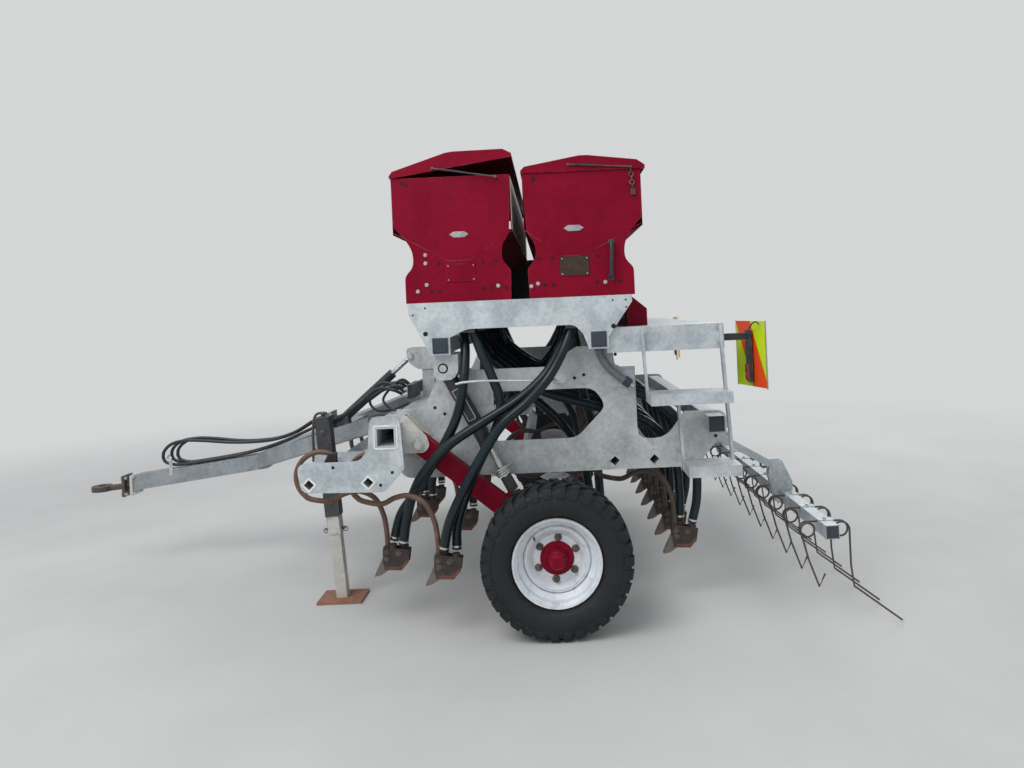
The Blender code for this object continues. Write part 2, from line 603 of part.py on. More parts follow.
def build_hopper(name, front, rear, outlet):
    """A folded trough between two end plates, which are notched deeper on their outer side."""
    neck = 0.050
    shoulder = 2.010
    rim = HOPPER_TOP - 0.005
    t = SHEET
    outside = [(front, rim), (front, shoulder), (outlet + neck, 1.860), (outlet + neck, OUTLET_Z),
               (outlet - neck, OUTLET_Z), (outlet - neck, 1.860), (rear, shoulder), (rear, rim)]
    inside = [(rear + t, rim), (rear + t, shoulder + t / 2), (outlet - neck + t, 1.860 + t / 2),
              (outlet - neck + t, OUTLET_Z), (outlet + neck - t, OUTLET_Z),
              (outlet + neck - t, 1.860 + t / 2), (front - t, shoulder + t / 2), (front - t, rim)]
    reach = CRADLE_Y - GAP
    left = plate([*outside[:4], *inside[4:]], -reach, reach)
    right = plate([*outside[4:], *inside[:4]], -reach, reach)
    inset = 0.001
    bridges = [box((outlet - neck + inset, y - 0.03, OUTLET_Z + inset),
                   (outlet + neck - inset, y + 0.03, OUTLET_Z + 0.008)) for y in (-1.200, 0.0, 1.200)]
    place(combine(left, [cluster(bridges), right]), "hopper_trough_" + name, "crimson")

    deep = [(0.0, HOPPER_TOP - GAP), (0.006, 2.048), (0.062, 1.985, 0.03), (0.097, 1.921, 0.03),
            (0.099, 1.845, 0.03), (0.054, 1.797, 0.02), (0.054, CRADLE_TOP + GAP)]
    shallow = [(0.016, CRADLE_TOP + GAP), (0.011, 1.814, 0.02), (0.052, 1.855, 0.03), (0.058, 1.930, 0.03),
               (0.013, 2.000, 0.02), (0.0, HOPPER_TOP - GAP)]
    if name == "front":
        end = [(front - inward, *rest) for inward, *rest in deep]
        end += [(rear + inward, *rest) for inward, *rest in shallow]
    else:
        end = [(rear + inward, *rest) for inward, *rest in deep]
        end += [(front - inward, *rest) for inward, *rest in shallow]
    place_pair(plate(end, CRADLE_Y, CRADLE_Y + END_SHEET), "hopper_end_" + name, "crimson")


def build_lid(name, hinge_x, angle):
    """A pressed lid, hollow from below, hinged along its front lower edge."""
    base = HOPPER_TOP
    profile = [(0.0, 0.0), (0.0, 0.012), (0.020, 0.032), (0.300, 0.078), (0.340, 0.078), (0.590, 0.046),
               (LID_DEPTH, 0.018), (LID_DEPTH, 0.0)]
    outer = [(hinge_x - u, base + v) for u, v in profile]
    t = SHEET
    inner = [(t, -0.01), (t, 0.010), (0.022, 0.032 - t), (0.300, 0.078 - t), (0.340, 0.078 - t),
             (0.588, 0.046 - t), (LID_DEPTH - t, 0.015), (LID_DEPTH - t, -0.01)]
    hollow = [(hinge_x - u, base + v) for u, v in inner]
    shell = plate(outer, -1.285, 1.285)
    lid = combine(shell, [plate(hollow, -1.268, 1.268)], "DIFFERENCE")
    turn_about(lid, (hinge_x, base), angle)
    place(lid, name, "crimson", (hinge_x, 0.0, base))


# ---------------------------------------------------------------- wheels, arms and rams
def arm_direction():
    """Unit vector from the arm's pivot to the axle, in x and z."""
    return (Vector((0.0, WHEEL_RADIUS)) - Vector(ARM_PIVOT)).normalized()


def ram_eye():
    """Place of the ram's lower eye, above the arm."""
    along = arm_direction()
    up = Vector((along.y, -along.x))
    return Vector(ARM_PIVOT) + along * RAM_EYE_REACH + up * RAM_EYE_LIFT


def build_wheels():
    """Wheel arms with their stub axles, rims and tyres."""
    x, z = ARM_PIVOT
    along = arm_direction()
    up = Vector((along.y, -along.x))
    arm = beam_between((x, ARM_Y, z), (0.0, ARM_Y, WHEEL_RADIUS), ARM_W, ARM_H)
    low, high = ARM_Y - ARM_W / 2, ARM_Y + ARM_W / 2
    knuckle = cylinder(0.052, (x, low, z), (x, high, z), 20)
    heel = cylinder(0.062, (0.0, low, WHEEL_RADIUS), (0.0, high, WHEEL_RADIUS), 20)
    stub = cylinder(STUB_RADIUS, (0.0, high - 0.01, WHEEL_RADIUS), (0.0, WHEEL_Y + 0.010, WHEEL_RADIUS))
    eye = ram_eye()
    foot = Vector(ARM_PIVOT) + along * RAM_EYE_REACH + up * (ARM_H / 2 - 0.010)
    lug = [tuple(foot - along * 0.045), tuple(foot + along * 0.045),
           (*(eye + along * 0.026 + up * 0.012), 0.02), (*(eye - along * 0.026 + up * 0.012), 0.02)]
    lugs = [plate(lug, ARM_Y + y, ARM_Y + y + 0.008)
            for y in (-RAM_EYE_W / 2 - 0.0085, RAM_EYE_W / 2 + 0.0005)]
    arm = combine(arm, [knuckle, heel, stub, *lugs])
    bore = cylinder(PIN + PIN_PLAY, (x, low - 0.01, z), (x, high + 0.01, z))
    arm = combine(arm, [bore], "DIFFERENCE")
    place_pair(arm, "wheel_arm", "crimson", (x, ARM_Y, z))

    half = TYRE_WIDTH / 2
    bead = RIM_RADIUS
    hub_face = ARM_Y + ARM_W / 2 + 0.0008 - WHEEL_Y
    rim = [(bead + 0.012, -half * 0.72), (bead + 0.012, -half * 0.66), (bead - 0.008, -half * 0.60),
           (bead - 0.010, -0.030), (bead - 0.030, -0.015), (bead - 0.030, 0.020), (bead - 0.010, 0.035),
           (bead - 0.008, half * 0.60), (bead + 0.012, half * 0.66), (bead + 0.012, half * 0.72),
           (bead - 0.014, half * 0.66), (bead - 0.020, 0.045), (bead - 0.036, 0.028), (bead - 0.050, 0.022),
           (0.080, 0.012), (0.060, 0.055), (0.045, 0.085), (HUB_BORE, 0.085),
           (HUB_BORE, hub_face), (0.055, hub_face),
           (0.055, 0.000), (bead - 0.052, 0.010), (bead - 0.038, -0.022), (bead - 0.018, -0.038),
           (bead - 0.016, -half * 0.64)]
    place_pair(turned(rim, WHEEL_Y, 0.0, WHEEL_RADIUS, 20), "rim", "silver_paint",
               (0.0, WHEEL_Y, WHEEL_RADIUS), True)
    seat = bead + GAP + 0.0012
    tyre = [(seat + 0.011, -half * 0.64), (seat - 0.007, -half * 0.56), (seat - 0.007, half * 0.56),
            (seat + 0.011, half * 0.64), (seat + 0.030, half * 0.90), (seat + 0.080, half),
            (WHEEL_RADIUS - 0.045, half * 0.96), (WHEEL_RADIUS - 0.012, half * 0.80),
            (WHEEL_RADIUS, half * 0.45),
            (WHEEL_RADIUS, -half * 0.45), (WHEEL_RADIUS - 0.012, -half * 0.80),
            (WHEEL_RADIUS - 0.045, -half * 0.96), (seat + 0.080, -half), (seat + 0.030, -half * 0.90)]
    place_pair(turned(tyre, WHEEL_Y, 0.0, WHEEL_RADIUS, 28), "tyre", "rubber",
               (0.0, WHEEL_Y, WHEEL_RADIUS), True)


def strut(foot, head, y, barrel_radius, rod_radius, barrel_share, eye_radius, eye_width):
    """A ram between two pins (x, z): the barrel holds foot, the rod holds head."""
    a, b = Vector((foot[0], y, foot[1])), Vector((head[0], y, head[1]))
    along = (b - a).normalized()
    across = Vector((0.0, eye_width / 2, 0.0))
    mouth = a + (b - a) * barrel_share
    barrel = combine(cylinder(eye_radius, a - across, a + across),
                     [cylinder(barrel_radius, a + along * 0.012, mouth)])
    bore = cylinder(rod_radius + 0.0006, a + along * (eye_radius + 0.035), mouth + along * 0.01, 12)
    barrel = combine(barrel, [bore], "DIFFERENCE")
    piston = combine(cylinder(eye_radius, b - across, b + across),
                     [cylinder(rod_radius, b - along * 0.012, mouth - along * 0.050, 12)])
    return barrel, piston


def build_rams():
    """The two lift rams and the top link."""
    eye = tuple(ram_eye())
    barrel, piston = strut(RAM_TOP, eye, ARM_Y, 0.040, 0.016, 0.62, 0.026, RAM_EYE_W)
    spigot = cylinder(0.014, (RAM_TOP[0], PLATE_Y + PLATE_T + GAP, RAM_TOP[1]),
                      (RAM_TOP[0], ARM_Y, RAM_TOP[1]))
    place_pair(combine(barrel, [spigot]), "lift_ram_barrel", "black_paint", (RAM_TOP[0], ARM_Y, RAM_TOP[1]))
    place_pair(piston, "lift_ram_rod", "chrome", (RAM_TOP[0], ARM_Y, RAM_TOP[1]))
    barrel, piston = strut(LINK_FOOT, LINK_HEAD, 0.0, 0.032, 0.016, 0.72, 0.026, 0.067)
    place(barrel, "top_link_barrel", "black_paint", (LINK_FOOT[0], 0.0, LINK_FOOT[1]))
    place(piston, "top_link_rod", "chrome", (LINK_FOOT[0], 0.0, LINK_FOOT[1]))


# ---------------------------------------------------------------- drawbar and jack
def build_drawbar():
    """The Y-shaped drawbar with its cross member, hose plate and hitch eye."""
    x, z = HITCH_PIVOT
    bend = (BEND[0], 0.0, BEND[1])
    root_x = x + 0.090
    legs = [beam_between((root_x, side * LEG_Y, z - 0.015), bend, 0.080, 0.090) for side in (-1, 1)]
    stubs = [box((x, side * LEG_Y - 0.040, z - 0.030), (root_x + 0.015, side * LEG_Y + 0.040, z + 0.024))
             for side in (-1, 1)]
    nose = beam_between((NOSE[0], 0.0, NOSE[1]), (BEND[0] - 0.06, 0.0, BEND[1] + 0.008), 0.100, 0.100)
    bosses = [cylinder(0.042, (x, side * LEG_Y - 0.046, z), (x, side * LEG_Y + 0.046, z), 20)
              for side in (-1, 1)]
    slope = (z - BEND[1]) / (BEND[0] - x)
    cross_z = z - (LINK_FOOT[0] - x) * slope
    cross_y = LEG_Y * (BEND[0] - LINK_FOOT[0]) / (BEND[0] - root_x) + 0.010
    cross = box((LINK_FOOT[0] - 0.040, -cross_y, cross_z - 0.040),
                (LINK_FOOT[0] + 0.040, cross_y, cross_z + 0.040))
    ear = [(LINK_FOOT[0] - 0.036, cross_z + 0.030), (LINK_FOOT[0] + 0.036, cross_z + 0.030),
           (LINK_FOOT[0] + 0.030, LINK_FOOT[1] + 0.030, 0.02),
           (LINK_FOOT[0] - 0.030, LINK_FOOT[1] + 0.030, 0.02)]
    ears = [plate(ear, y, y + 0.010) for y in (-0.0440, 0.0340)]
    panel = box((HOSE_PLATE_X - 0.014, 0.055, cross_z), (HOSE_PLATE_X, 0.190, 0.995))
    flange = box((NOSE[0] - 0.012, -0.062, 0.480), (NOSE[0] + SWIVEL_START - GAP, 0.062, 0.612))
    body = combine(nose, [*legs, *stubs, cross, *bosses, *ears, panel, flange])
    bores = [cylinder(PIN + PIN_PLAY, (x, side * LEG_Y - 0.06, z), (x, side * LEG_Y + 0.06, z))
             for side in (-1, 1)]
    body = combine(body, bores, "DIFFERENCE")
    place(body, "drawbar", "galvanised", (x, 0.0, z))

    disc = plate(ring(EYE_X, 0.0, 0.064, 24), -0.017, 0.017, [ring(EYE_X, 0.0, 0.026, 16)])
    disc.data.transform(Matrix.Translation((0.0, 0.0, EYE_Z)) @ Matrix.Rotation(math.radians(90.0), 4, "X"))
    neck = cylinder(0.020, (EYE_X - 0.050, 0.0, EYE_Z), (NOSE[0] + 0.060, 0.0, EYE_Z + 0.010))
    flange = box((NOSE[0] + 0.046, -0.055, 0.470), (NOSE[0] + 0.064, 0.055, 0.610))
    swivel = cylinder(0.030, (NOSE[0] + SWIVEL_START, 0.0, SWIVEL_Z), (NOSE[0] + 0.050, 0.0, SWIVEL_Z))
    place(combine(disc, [neck, flange, swivel]), "hitch_eye", "brown_steel", (NOSE[0], 0.0, SWIVEL_Z))


def build_jack():
    """Square jack tube, and the leg and foot that slide along it; both lean."""
    half, bore_half, leg_half = JACK_TUBE / 2, JACK_BORE / 2, JACK_LEG / 2
    top, bottom = 1.040, 0.478
    clamp = (JACK_X, JACK_CLAMP_Z)
    tube = box((JACK_X - half, JACK_Y - half, bottom), (JACK_X + half, JACK_Y + half, top))
    bore = box((JACK_X - bore_half, JACK_Y - bore_half, bottom - 0.020),
               (JACK_X + bore_half, JACK_Y + bore_half, top - 0.010))
    tube = turn_about(combine(tube, [bore], "DIFFERENCE"), clamp, JACK_LEAN)
    pad = box((JACK_X - 0.032, JACK_Y + half - 0.003, 0.755), (JACK_X + 0.032, INNER_PLATE_Y - GAP, 0.838))
    place(combine(tube, [pad]), "jack_tube", "brown_steel")
    foot_x = JACK_X - JACK_CLAMP_Z * math.sin(math.radians(JACK_LEAN))
    leg = box((JACK_X - leg_half, JACK_Y - leg_half, 0.004), (JACK_X + leg_half, JACK_Y + leg_half, 0.640))
    leg = turn_about(leg, clamp, JACK_LEAN)
    foot = box((foot_x - 0.125, JACK_Y - 0.095, 0.0), (foot_x + 0.125, JACK_Y + 0.095, 0.014))
    place(combine(leg, [foot]), "jack_leg", "brown_steel", (foot_x, JACK_Y, 0.0))


# ---------------------------------------------------------------- hydraulic hoses on the drawbar
# x, height of the loop; it leaves the plate forwards, turns at the nose and comes back along the bar
HYDRAULIC_LOOP = [
    (1.449, 0.968), (1.490, 0.967), (1.570, 0.935), (1.690, 0.868), (1.840, 0.818),
    (2.000, 0.801), (2.160, 0.806), (2.320, 0.824), (2.450, 0.830), (2.540, 0.806),
    (2.588, 0.752), (2.580, 0.698), (2.520, 0.674), (2.440, 0.675), (2.340, 0.685),
    (2.180, 0.705), (2.040, 0.728), (1.900, 0.764), (1.760, 0.812), (1.640, 0.862),
    (1.550, 0.898), (1.490, 0.911), (1.449, 0.912),
]
# name, y at the plate, y along the bar, reach of the loop
HYDRAULIC_HOSES = [("hydraulic_hose_1", 0.080, -0.026, 0.000), ("hydraulic_hose_2", 0.122, 0.002, -0.055),
                   ("hydraulic_hose_3", 0.164, 0.030, 0.030)]


def hydraulic_route(plate_y, bar_y, reach):
    """Points of one hose loop."""
    points = []
    for x, z in HYDRAULIC_LOOP:
        share = min(1.0, max(0.0, (x - 1.49) / 0.55))
        share = share * share * (3 - 2 * share)
        far = min(1.0, max(0.0, (x - 1.60) / 0.90))
        points.append((x + reach * far, plate_y + (bar_y - plate_y) * share, z - 0.123 * reach * far))
    return points


def build_hydraulic_hoses():
    """The parked hose loops that lie along the drawbar."""
    for name, plate_y, bar_y, reach in HYDRAULIC_HOSES:
        route = smooth_route(hydraulic_route(plate_y, bar_y, reach), 1)
        place(rod(route, HYDRAULIC_RADIUS, 2), name, "hydraulic_hose", (HOSE_PLATE_X, plate_y, 0.968), True)


# ---------------------------------------------------------------- platform, ladder and marker boards
def build_platform():
    """Deck, side channels and rear rail."""
    front = CRADLE_REAR_X - TUBE / 2 - GAP
    deck = box((PLATFORM_REAR, -1.245, DECK_Z - 0.006), (-0.368, 1.245, DECK_Z))
    channel = plate([(PLATFORM_REAR, 1.366), (front, 1.366), (front, DECK_Z), (PLATFORM_REAR, DECK_Z)],
                    1.244, 1.250)
    flange = box((PLATFORM_REAR, 1.205, 1.366), (front - 0.020, 1.248, 1.372))
    sides = [copy_at(channel, mirror=True), channel]
    flanges = [copy_at(flange, mirror=True), flange]
    rear = box((PLATFORM_REAR, -1.248, 1.430), (PLATFORM_REAR + 0.006, 1.248, DECK_Z - 0.001))
    place(combine(deck, [*sides, *flanges, rear]), "platform", "galvanised")
    t = SHEET
    apron = [(-0.425, 1.657), (-0.455, 1.650), (-0.530, 1.585), (-0.530, DECK_Z + GAP),
             (-0.530 + t, DECK_Z + GAP), (-0.530 + t, 1.583), (-0.453, 1.650 - t), (-0.425, 1.657 - t)]
    place(plate(apron, -1.100, 1.100), "hopper_apron", "crimson")


def build_ladder():
    """Two-step side ladder hung on the platform's left channel."""
    y, inner, outer = LADDER_Y, 1.2543, 1.450
    front = beam_between((-0.477, y, 1.488), (-0.495, y, 1.112), LADDER_BAR, 0.014)
    rear = beam_between((-0.874, y, 1.488), (-0.913, y, 0.757), LADDER_BAR, 0.014)
    lower = beam_between((-0.645, y, 1.150), (-0.663, y, 0.757), LADDER_BAR, 0.014)
    step_1 = box((-0.887, inner, 1.111), (-0.488, outer, 1.166))
    step_2 = box((-0.915, inner, 0.756), (-0.657, outer, 0.810))
    place(combine(step_1, [front, rear, lower, step_2]), "ladder", "galvanised")


def build_marker_boards():
    """Striped end boards on their brackets behind the platform."""
    board = box((-1.064, 0.990, 1.154), (-1.060, 1.300, 1.496))
    turn = Matrix.Rotation(math.radians(14.0), 4, "Z")
    centre = Vector((-1.062, 1.150, 0.0))
    board.data.transform(Matrix.Translation(centre) @ turn @ Matrix.Translation(-centre))
    arm = box((-1.060, 1.130, 1.400), (PLATFORM_REAR - GAP, 1.170, 1.440))
    post = box((-1.058, 1.125, 1.180), (-1.036, 1.175, 1.450))
    place_pair(combine(arm, [post, board]), "marker_board", "marker_film")


# ---------------------------------------------------------------- harrow
def harrow_coil_tine(root_x, centre, y, radius, way, leg):
    """A harrow tine: from the rail over the coil's top, one and a quarter turns, then the leg (x, z).

    way is +1 where the coil lies behind the rail and -1 where it lies ahead.
    """
    x, z = centre
    points = [(root_x, y, z + radius)]
    for step in range(COIL_STEPS + 1):
        t = math.radians(90.0 + way * 450.0 * step / COIL_STEPS)
        points.append((x + radius * math.cos(t), y + COIL_PITCH * step, z + radius * math.sin(t)))
    points += [(px, y + COIL_PITCH * COIL_STEPS, pz) for px, pz in leg]
    return rod(points, HARROW_WIRE)


def build_harrow():
    """Hinged arms and a rail with a row of spring tines ahead of it and one behind."""
    hx, hz = HARROW_PIVOT
    bx, bz = HARROW_BAR
    half = HARROW_RAIL / 2
    rail = box((bx - half, -HALF_WIDTH, bz - half), (bx + half, HALF_WIDTH, bz + half))
    arms = []
    for side in (-1, 1):
        y = side * HARROW_ARM_Y
        arm = beam_between((hx, y, hz), (-1.275, y, 0.640), 0.040, 0.040)
        boss = cylinder(0.024, (hx, y - 0.020, hz), (hx, y + 0.020, hz))
        cheek = plate([(-1.235, 0.680, 0.015), (-1.225, 0.600, 0.015), (-1.270, 0.436), (-1.362, 0.436),
                       (-1.362, 0.560), (-1.310, 0.680, 0.015)], y - 0.026, y + 0.026)
        arms.append(combine(arm, [boss, cheek]))
    frame = combine(rail, arms)
    bores = [cylinder(HARROW_BORE, (hx, s * HARROW_ARM_Y - 0.05, hz), (hx, s * HARROW_ARM_Y + 0.05, hz))
             for s in (-1, 1)]
    frame = combine(frame, bores, "DIFFERENCE")
    tines = []
    for coil, radius, way, leg in HARROW_ROWS:
        root_x = bx - way * (half - 0.012)
        for index in range(HARROW_COUNT):
            y = HARROW_FIRST + index * HARROW_SPACING
            tines.append(harrow_coil_tine(root_x, coil, y, radius, way, leg))
    frame = combine(frame, [cluster(tines)])
    place(frame, "harrow", "galvanised", (hx, 0.0, hz))


# ---------------------------------------------------------------- assembly
build_plates()
build_front_beam()
build_rear_beam()
build_headstock()
build_arm_brackets()
build_tines()
for side_name, housing_x in (("front", METER_FRONT), ("rear", METER_REAR)):
    seed_hoses(side_name, housing_x)
for hopper in HOPPERS:
    build_hopper(*hopper)
build_lid("front_lid", 0.768, 8.0)
build_lid("rear_lid", 0.104, 0.0)
build_wheels()
build_rams()
build_drawbar()
build_jack()
build_hydraulic_hoses()
build_platform()
build_ladder()
build_marker_boards()
build_harrow()
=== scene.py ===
"""Looks of the towed seed drill: finishes, smooth openers, hoses, tyres and the small fittings.

Places are given from the wheel axle as in the frame: x forward of the axle, y to the left, z above the
ground.  `at` turns them into the row frame, whose origin lies under the middle of the machine.
"""
from __future__ import annotations

import logging
import math
from dataclasses import dataclass, field
from enum import Enum
from typing import Iterable, Sequence

import bmesh
import bpy
from mathutils import Matrix, Vector


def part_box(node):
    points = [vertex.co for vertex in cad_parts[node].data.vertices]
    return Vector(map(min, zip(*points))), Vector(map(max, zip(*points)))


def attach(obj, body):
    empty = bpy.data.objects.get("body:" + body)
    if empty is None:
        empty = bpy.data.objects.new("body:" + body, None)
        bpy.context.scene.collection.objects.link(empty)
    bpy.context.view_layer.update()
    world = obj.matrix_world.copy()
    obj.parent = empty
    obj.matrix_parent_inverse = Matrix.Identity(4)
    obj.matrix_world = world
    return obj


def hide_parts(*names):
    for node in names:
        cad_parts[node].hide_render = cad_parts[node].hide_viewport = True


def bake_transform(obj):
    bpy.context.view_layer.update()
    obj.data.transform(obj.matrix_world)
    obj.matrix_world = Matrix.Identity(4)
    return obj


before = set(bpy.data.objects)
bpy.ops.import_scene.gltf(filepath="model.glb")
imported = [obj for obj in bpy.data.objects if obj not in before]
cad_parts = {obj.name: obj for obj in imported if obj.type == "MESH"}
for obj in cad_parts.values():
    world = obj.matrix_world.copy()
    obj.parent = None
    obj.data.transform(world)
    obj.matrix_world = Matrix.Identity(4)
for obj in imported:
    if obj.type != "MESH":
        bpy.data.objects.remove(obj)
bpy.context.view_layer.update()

log = logging.getLogger("seed_drill")
logging.basicConfig(level=logging.INFO, format="%(name)s: %(message)s")

Point = tuple[float, float, float]
Flat = tuple[float, float]

TYRE_LOW, TYRE_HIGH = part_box("tyre_left")
AXLE_X = (TYRE_LOW.x + TYRE_HIGH.x) / 2
AXLE_Z = (TYRE_LOW.z + TYRE_HIGH.z) / 2
WHEEL_Y = (TYRE_LOW.y + TYRE_HIGH.y) / 2
CRADLE_FACE, CRADLE_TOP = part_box("cradle_plate_left")[1].yz
PLATFORM_REAR_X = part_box("platform")[0].x - AXLE_X
NOSE_FLANGE_X = 2.817
SIDES = (("left", 1.0), ("right", -1.0))


def at(x: float, y: float, z: float) -> Vector:
    """Row-frame point of a place given from the wheel axle."""
    return Vector((AXLE_X + x, y, z))


# ---------------------------------------------------------------------------------------- shapes
class Axis(Enum):
    """Main directions of the machine."""

    X = (1.0, 0.0, 0.0)
    Y = (0.0, 1.0, 0.0)
    Z = (0.0, 0.0, 1.0)

    @property
    def vector(self) -> Vector:
        """The direction as a vector."""
        return Vector(self.value)


@dataclass
class Shape:
    """Mesh data that grows piece by piece and becomes one object."""

    name: str
    vertices: list[Vector] = field(default_factory=list)
    faces: list[tuple[int, ...]] = field(default_factory=list)
    slots: list[int] = field(default_factory=list)

    def add(self, points: Sequence[Vector], faces: Iterable[tuple[int, ...]], slot: int = 0) -> None:
        """Add faces over new points.

        Args:
            points: corners in axle coordinates.
            faces: corner indices of each face, outward.
            slot: material slot of these faces.
        """
        base = len(self.vertices)
        self.vertices.extend(points)
        for face in faces:
            self.faces.append(tuple(base + i for i in face))
            self.slots.append(slot)

    def tube(self, path: Sequence[Vector], radius: float | Sequence[float], sides: int = 10,
             slot: int = 0) -> None:
        """Sweep a circle along a path and cap both ends.

        Args:
            path: centre points.
            radius: one radius, or one for each centre point.
            sides: corners of the circle.
            slot: material slot.
        """
        radii = [radius] * len(path) if isinstance(radius, (int, float)) else list(radius)
        points: list[Vector] = []
        normal = None
        for i, centre in enumerate(path):
            ahead = path[min(i + 1, len(path) - 1)] - path[max(i - 1, 0)]
            along = ahead.normalized()
            if normal is None:
                seed = Vector((0.0, 1.0, 0.0)) if abs(along.y) < 0.9 else Vector((1.0, 0.0, 0.0))
                normal = along.cross(seed).normalized()
            normal = (normal - along * normal.dot(along)).normalized()
            side = along.cross(normal)
            for k in range(sides):
                turn = 2 * math.pi * k / sides
                points.append(centre + (normal * math.cos(turn) + side * math.sin(turn)) * radii[i])
        faces: list[tuple[int, ...]] = []
        for i in range(len(path) - 1):
            for k in range(sides):
                n = (k + 1) % sides
                faces.append((i * sides + k, i * sides + n, (i + 1) * sides + n, (i + 1) * sides + k))
        last = (len(path) - 1) * sides
        faces.append(tuple(reversed(range(sides))))
        faces.append(tuple(range(last, last + sides)))
        self.add(points, faces, slot)

    def rod(self, start: Point | Vector, end: Point | Vector, radius: float, sides: int = 12,
            slot: int = 0) -> None:
        """Add a round bar between two points."""
        self.tube([Vector(start), Vector(end)], radius, sides, slot)

    def block(self, low: Point, high: Point, slot: int = 0, place: Matrix | None = None) -> None:
        """Add a box.

        Args:
            low: lowest corner.
            high: highest corner.
            slot: material slot.
            place: turn and move applied to the corners.
        """
        points = [Vector((x, y, z)) for z in (low[2], high[2]) for y in (low[1], high[1])
                  for x in (low[0], high[0])]
        if place is not None:
            points = [place @ p for p in points]
        faces = [(0, 2, 3, 1), (4, 5, 7, 6), (0, 1, 5, 4), (2, 6, 7, 3), (0, 4, 6, 2), (1, 3, 7, 5)]
        self.add(points, faces, slot)

    def prism(self, outline: Sequence[Flat], y_low: float, y_high: float, slot: int = 0) -> None:
        """Add a flat outline in x and z, filling y_low to y_high."""
        area = sum(a[0] * b[1] - b[0] * a[1] for a, b in zip(outline, [*outline[1:], outline[0]]))
        loop = list(outline) if area > 0 else list(reversed(outline))
        count = len(loop)
        points = [Vector((x, y, z)) for y in (y_low, y_high) for x, z in loop]
        faces: list[tuple[int, ...]] = [tuple(range(count)), tuple(reversed(range(count, 2 * count)))]
        faces += [((k + 1) % count, k, count + k, count + (k + 1) % count) for k in range(count)]
        self.add(points, faces, slot)

    def turned(self, profile: Sequence[Flat], centre: Point, axis: Axis = Axis.Y, steps: int = 48,
               slot: int = 0, closed: bool = True) -> None:
        """Turn a profile of (radius, offset along the axis) about an axis.

        Args:
            profile: radius and offset of each corner.
            centre: point on the axis.
            axis: direction of the axis.
            steps: parts of the turn.
            slot: material slot.
            closed: whether the last corner joins the first.
        """
        along = axis.vector
        first = Vector((0.0, 0.0, 1.0)) if axis is not Axis.Z else Vector((1.0, 0.0, 0.0))
        second = along.cross(first)
        middle = Vector(centre)
        points = [middle + along * offset + (first * math.cos(t) + second * math.sin(t)) * radius
                  for t in (2 * math.pi * s / steps for s in range(steps)) for radius, offset in profile]
        count = len(profile)
        spans = count if closed else count - 1
        faces = []
        for s in range(steps):
            a, b = s * count, (s + 1) % steps * count
            faces += [(a + k, a + (k + 1) % count, b + (k + 1) % count, b + k) for k in range(spans)]
        self.add(points, faces, slot)

    def bolt(self, place: Point, axis: Axis = Axis.Y, side: float = 1.0, size: float = 0.012,
             slot: int = 0) -> None:
        """Add a hexagon head on a washer.

        Args:
            place: point on the surface.
            axis: direction of the bolt.
            side: +1 or -1, the way that the head faces.
            size: half the head's width across corners.
            slot: material slot.
        """
        out = axis.vector * side
        start = Vector(place) - out * 0.001
        self.rod(start, start + out * 0.004, size * 1.35, 16, slot)
        self.rod(start, start + out * (0.004 + size * 0.8), size, 6, slot)

    def build(self, finishes: Sequence[bpy.types.Material], bevel: float = 0.0,
              smooth: bool = True) -> bpy.types.Object:
        """Make the object.

        Args:
            finishes: one material for each slot.
            bevel: width of the edge bevel, or 0 for none.
            smooth: whether round faces are shaded smooth.

        Returns:
            The new object, in the row frame.
        """
        mesh = bpy.data.meshes.new(self.name)
        mesh.from_pydata([v + Vector((AXLE_X, 0.0, 0.0)) for v in self.vertices], [], self.faces)
        mesh.polygons.foreach_set("material_index", self.slots)
        shape = bmesh.new()
        shape.from_mesh(mesh)
        bmesh.ops.remove_doubles(shape, verts=shape.verts, dist=1e-6)
        bmesh.ops.recalc_face_normals(shape, faces=shape.faces)
        shape.to_mesh(mesh)
        shape.free()
        for finish in finishes:
            mesh.materials.append(finish)
        if smooth:
            mesh.shade_smooth()
            mesh.set_sharp_from_angle(angle=math.radians(35.0))
        piece = bpy.data.objects.new(self.name, mesh)
        bpy.context.scene.collection.objects.link(piece)
        if bevel:
            edge = piece.modifiers.new("edge", "BEVEL")
            edge.width = bevel
            edge.segments = 2
            edge.limit_method = "ANGLE"
        return piece


def smooth_path(points: Sequence[Sequence[float]], step: float) -> list[Vector]:
    """Points of a Catmull-Rom curve about one step apart.

    Args:
        points: places that the curve passes.
        step: wanted distance between points.

    Returns:
        The curve's points, ends included.
    """
    knots = [Vector(p) for p in points]
    knots = [2 * knots[0] - knots[1], *knots, 2 * knots[-1] - knots[-2]]
    path: list[Vector] = []
    for a, b, c, d in zip(knots, knots[1:], knots[2:], knots[3:]):
        count = max(1, round((c - b).length / step))
        for i in range(count):
            t = i / count
            path.append(0.5 * (2 * b + (c - a) * t + (2 * a - 5 * b + 4 * c - d) * t * t
                               + (3 * b - a - 3 * c + d) * t ** 3))
    path.append(knots[-2])
    return path


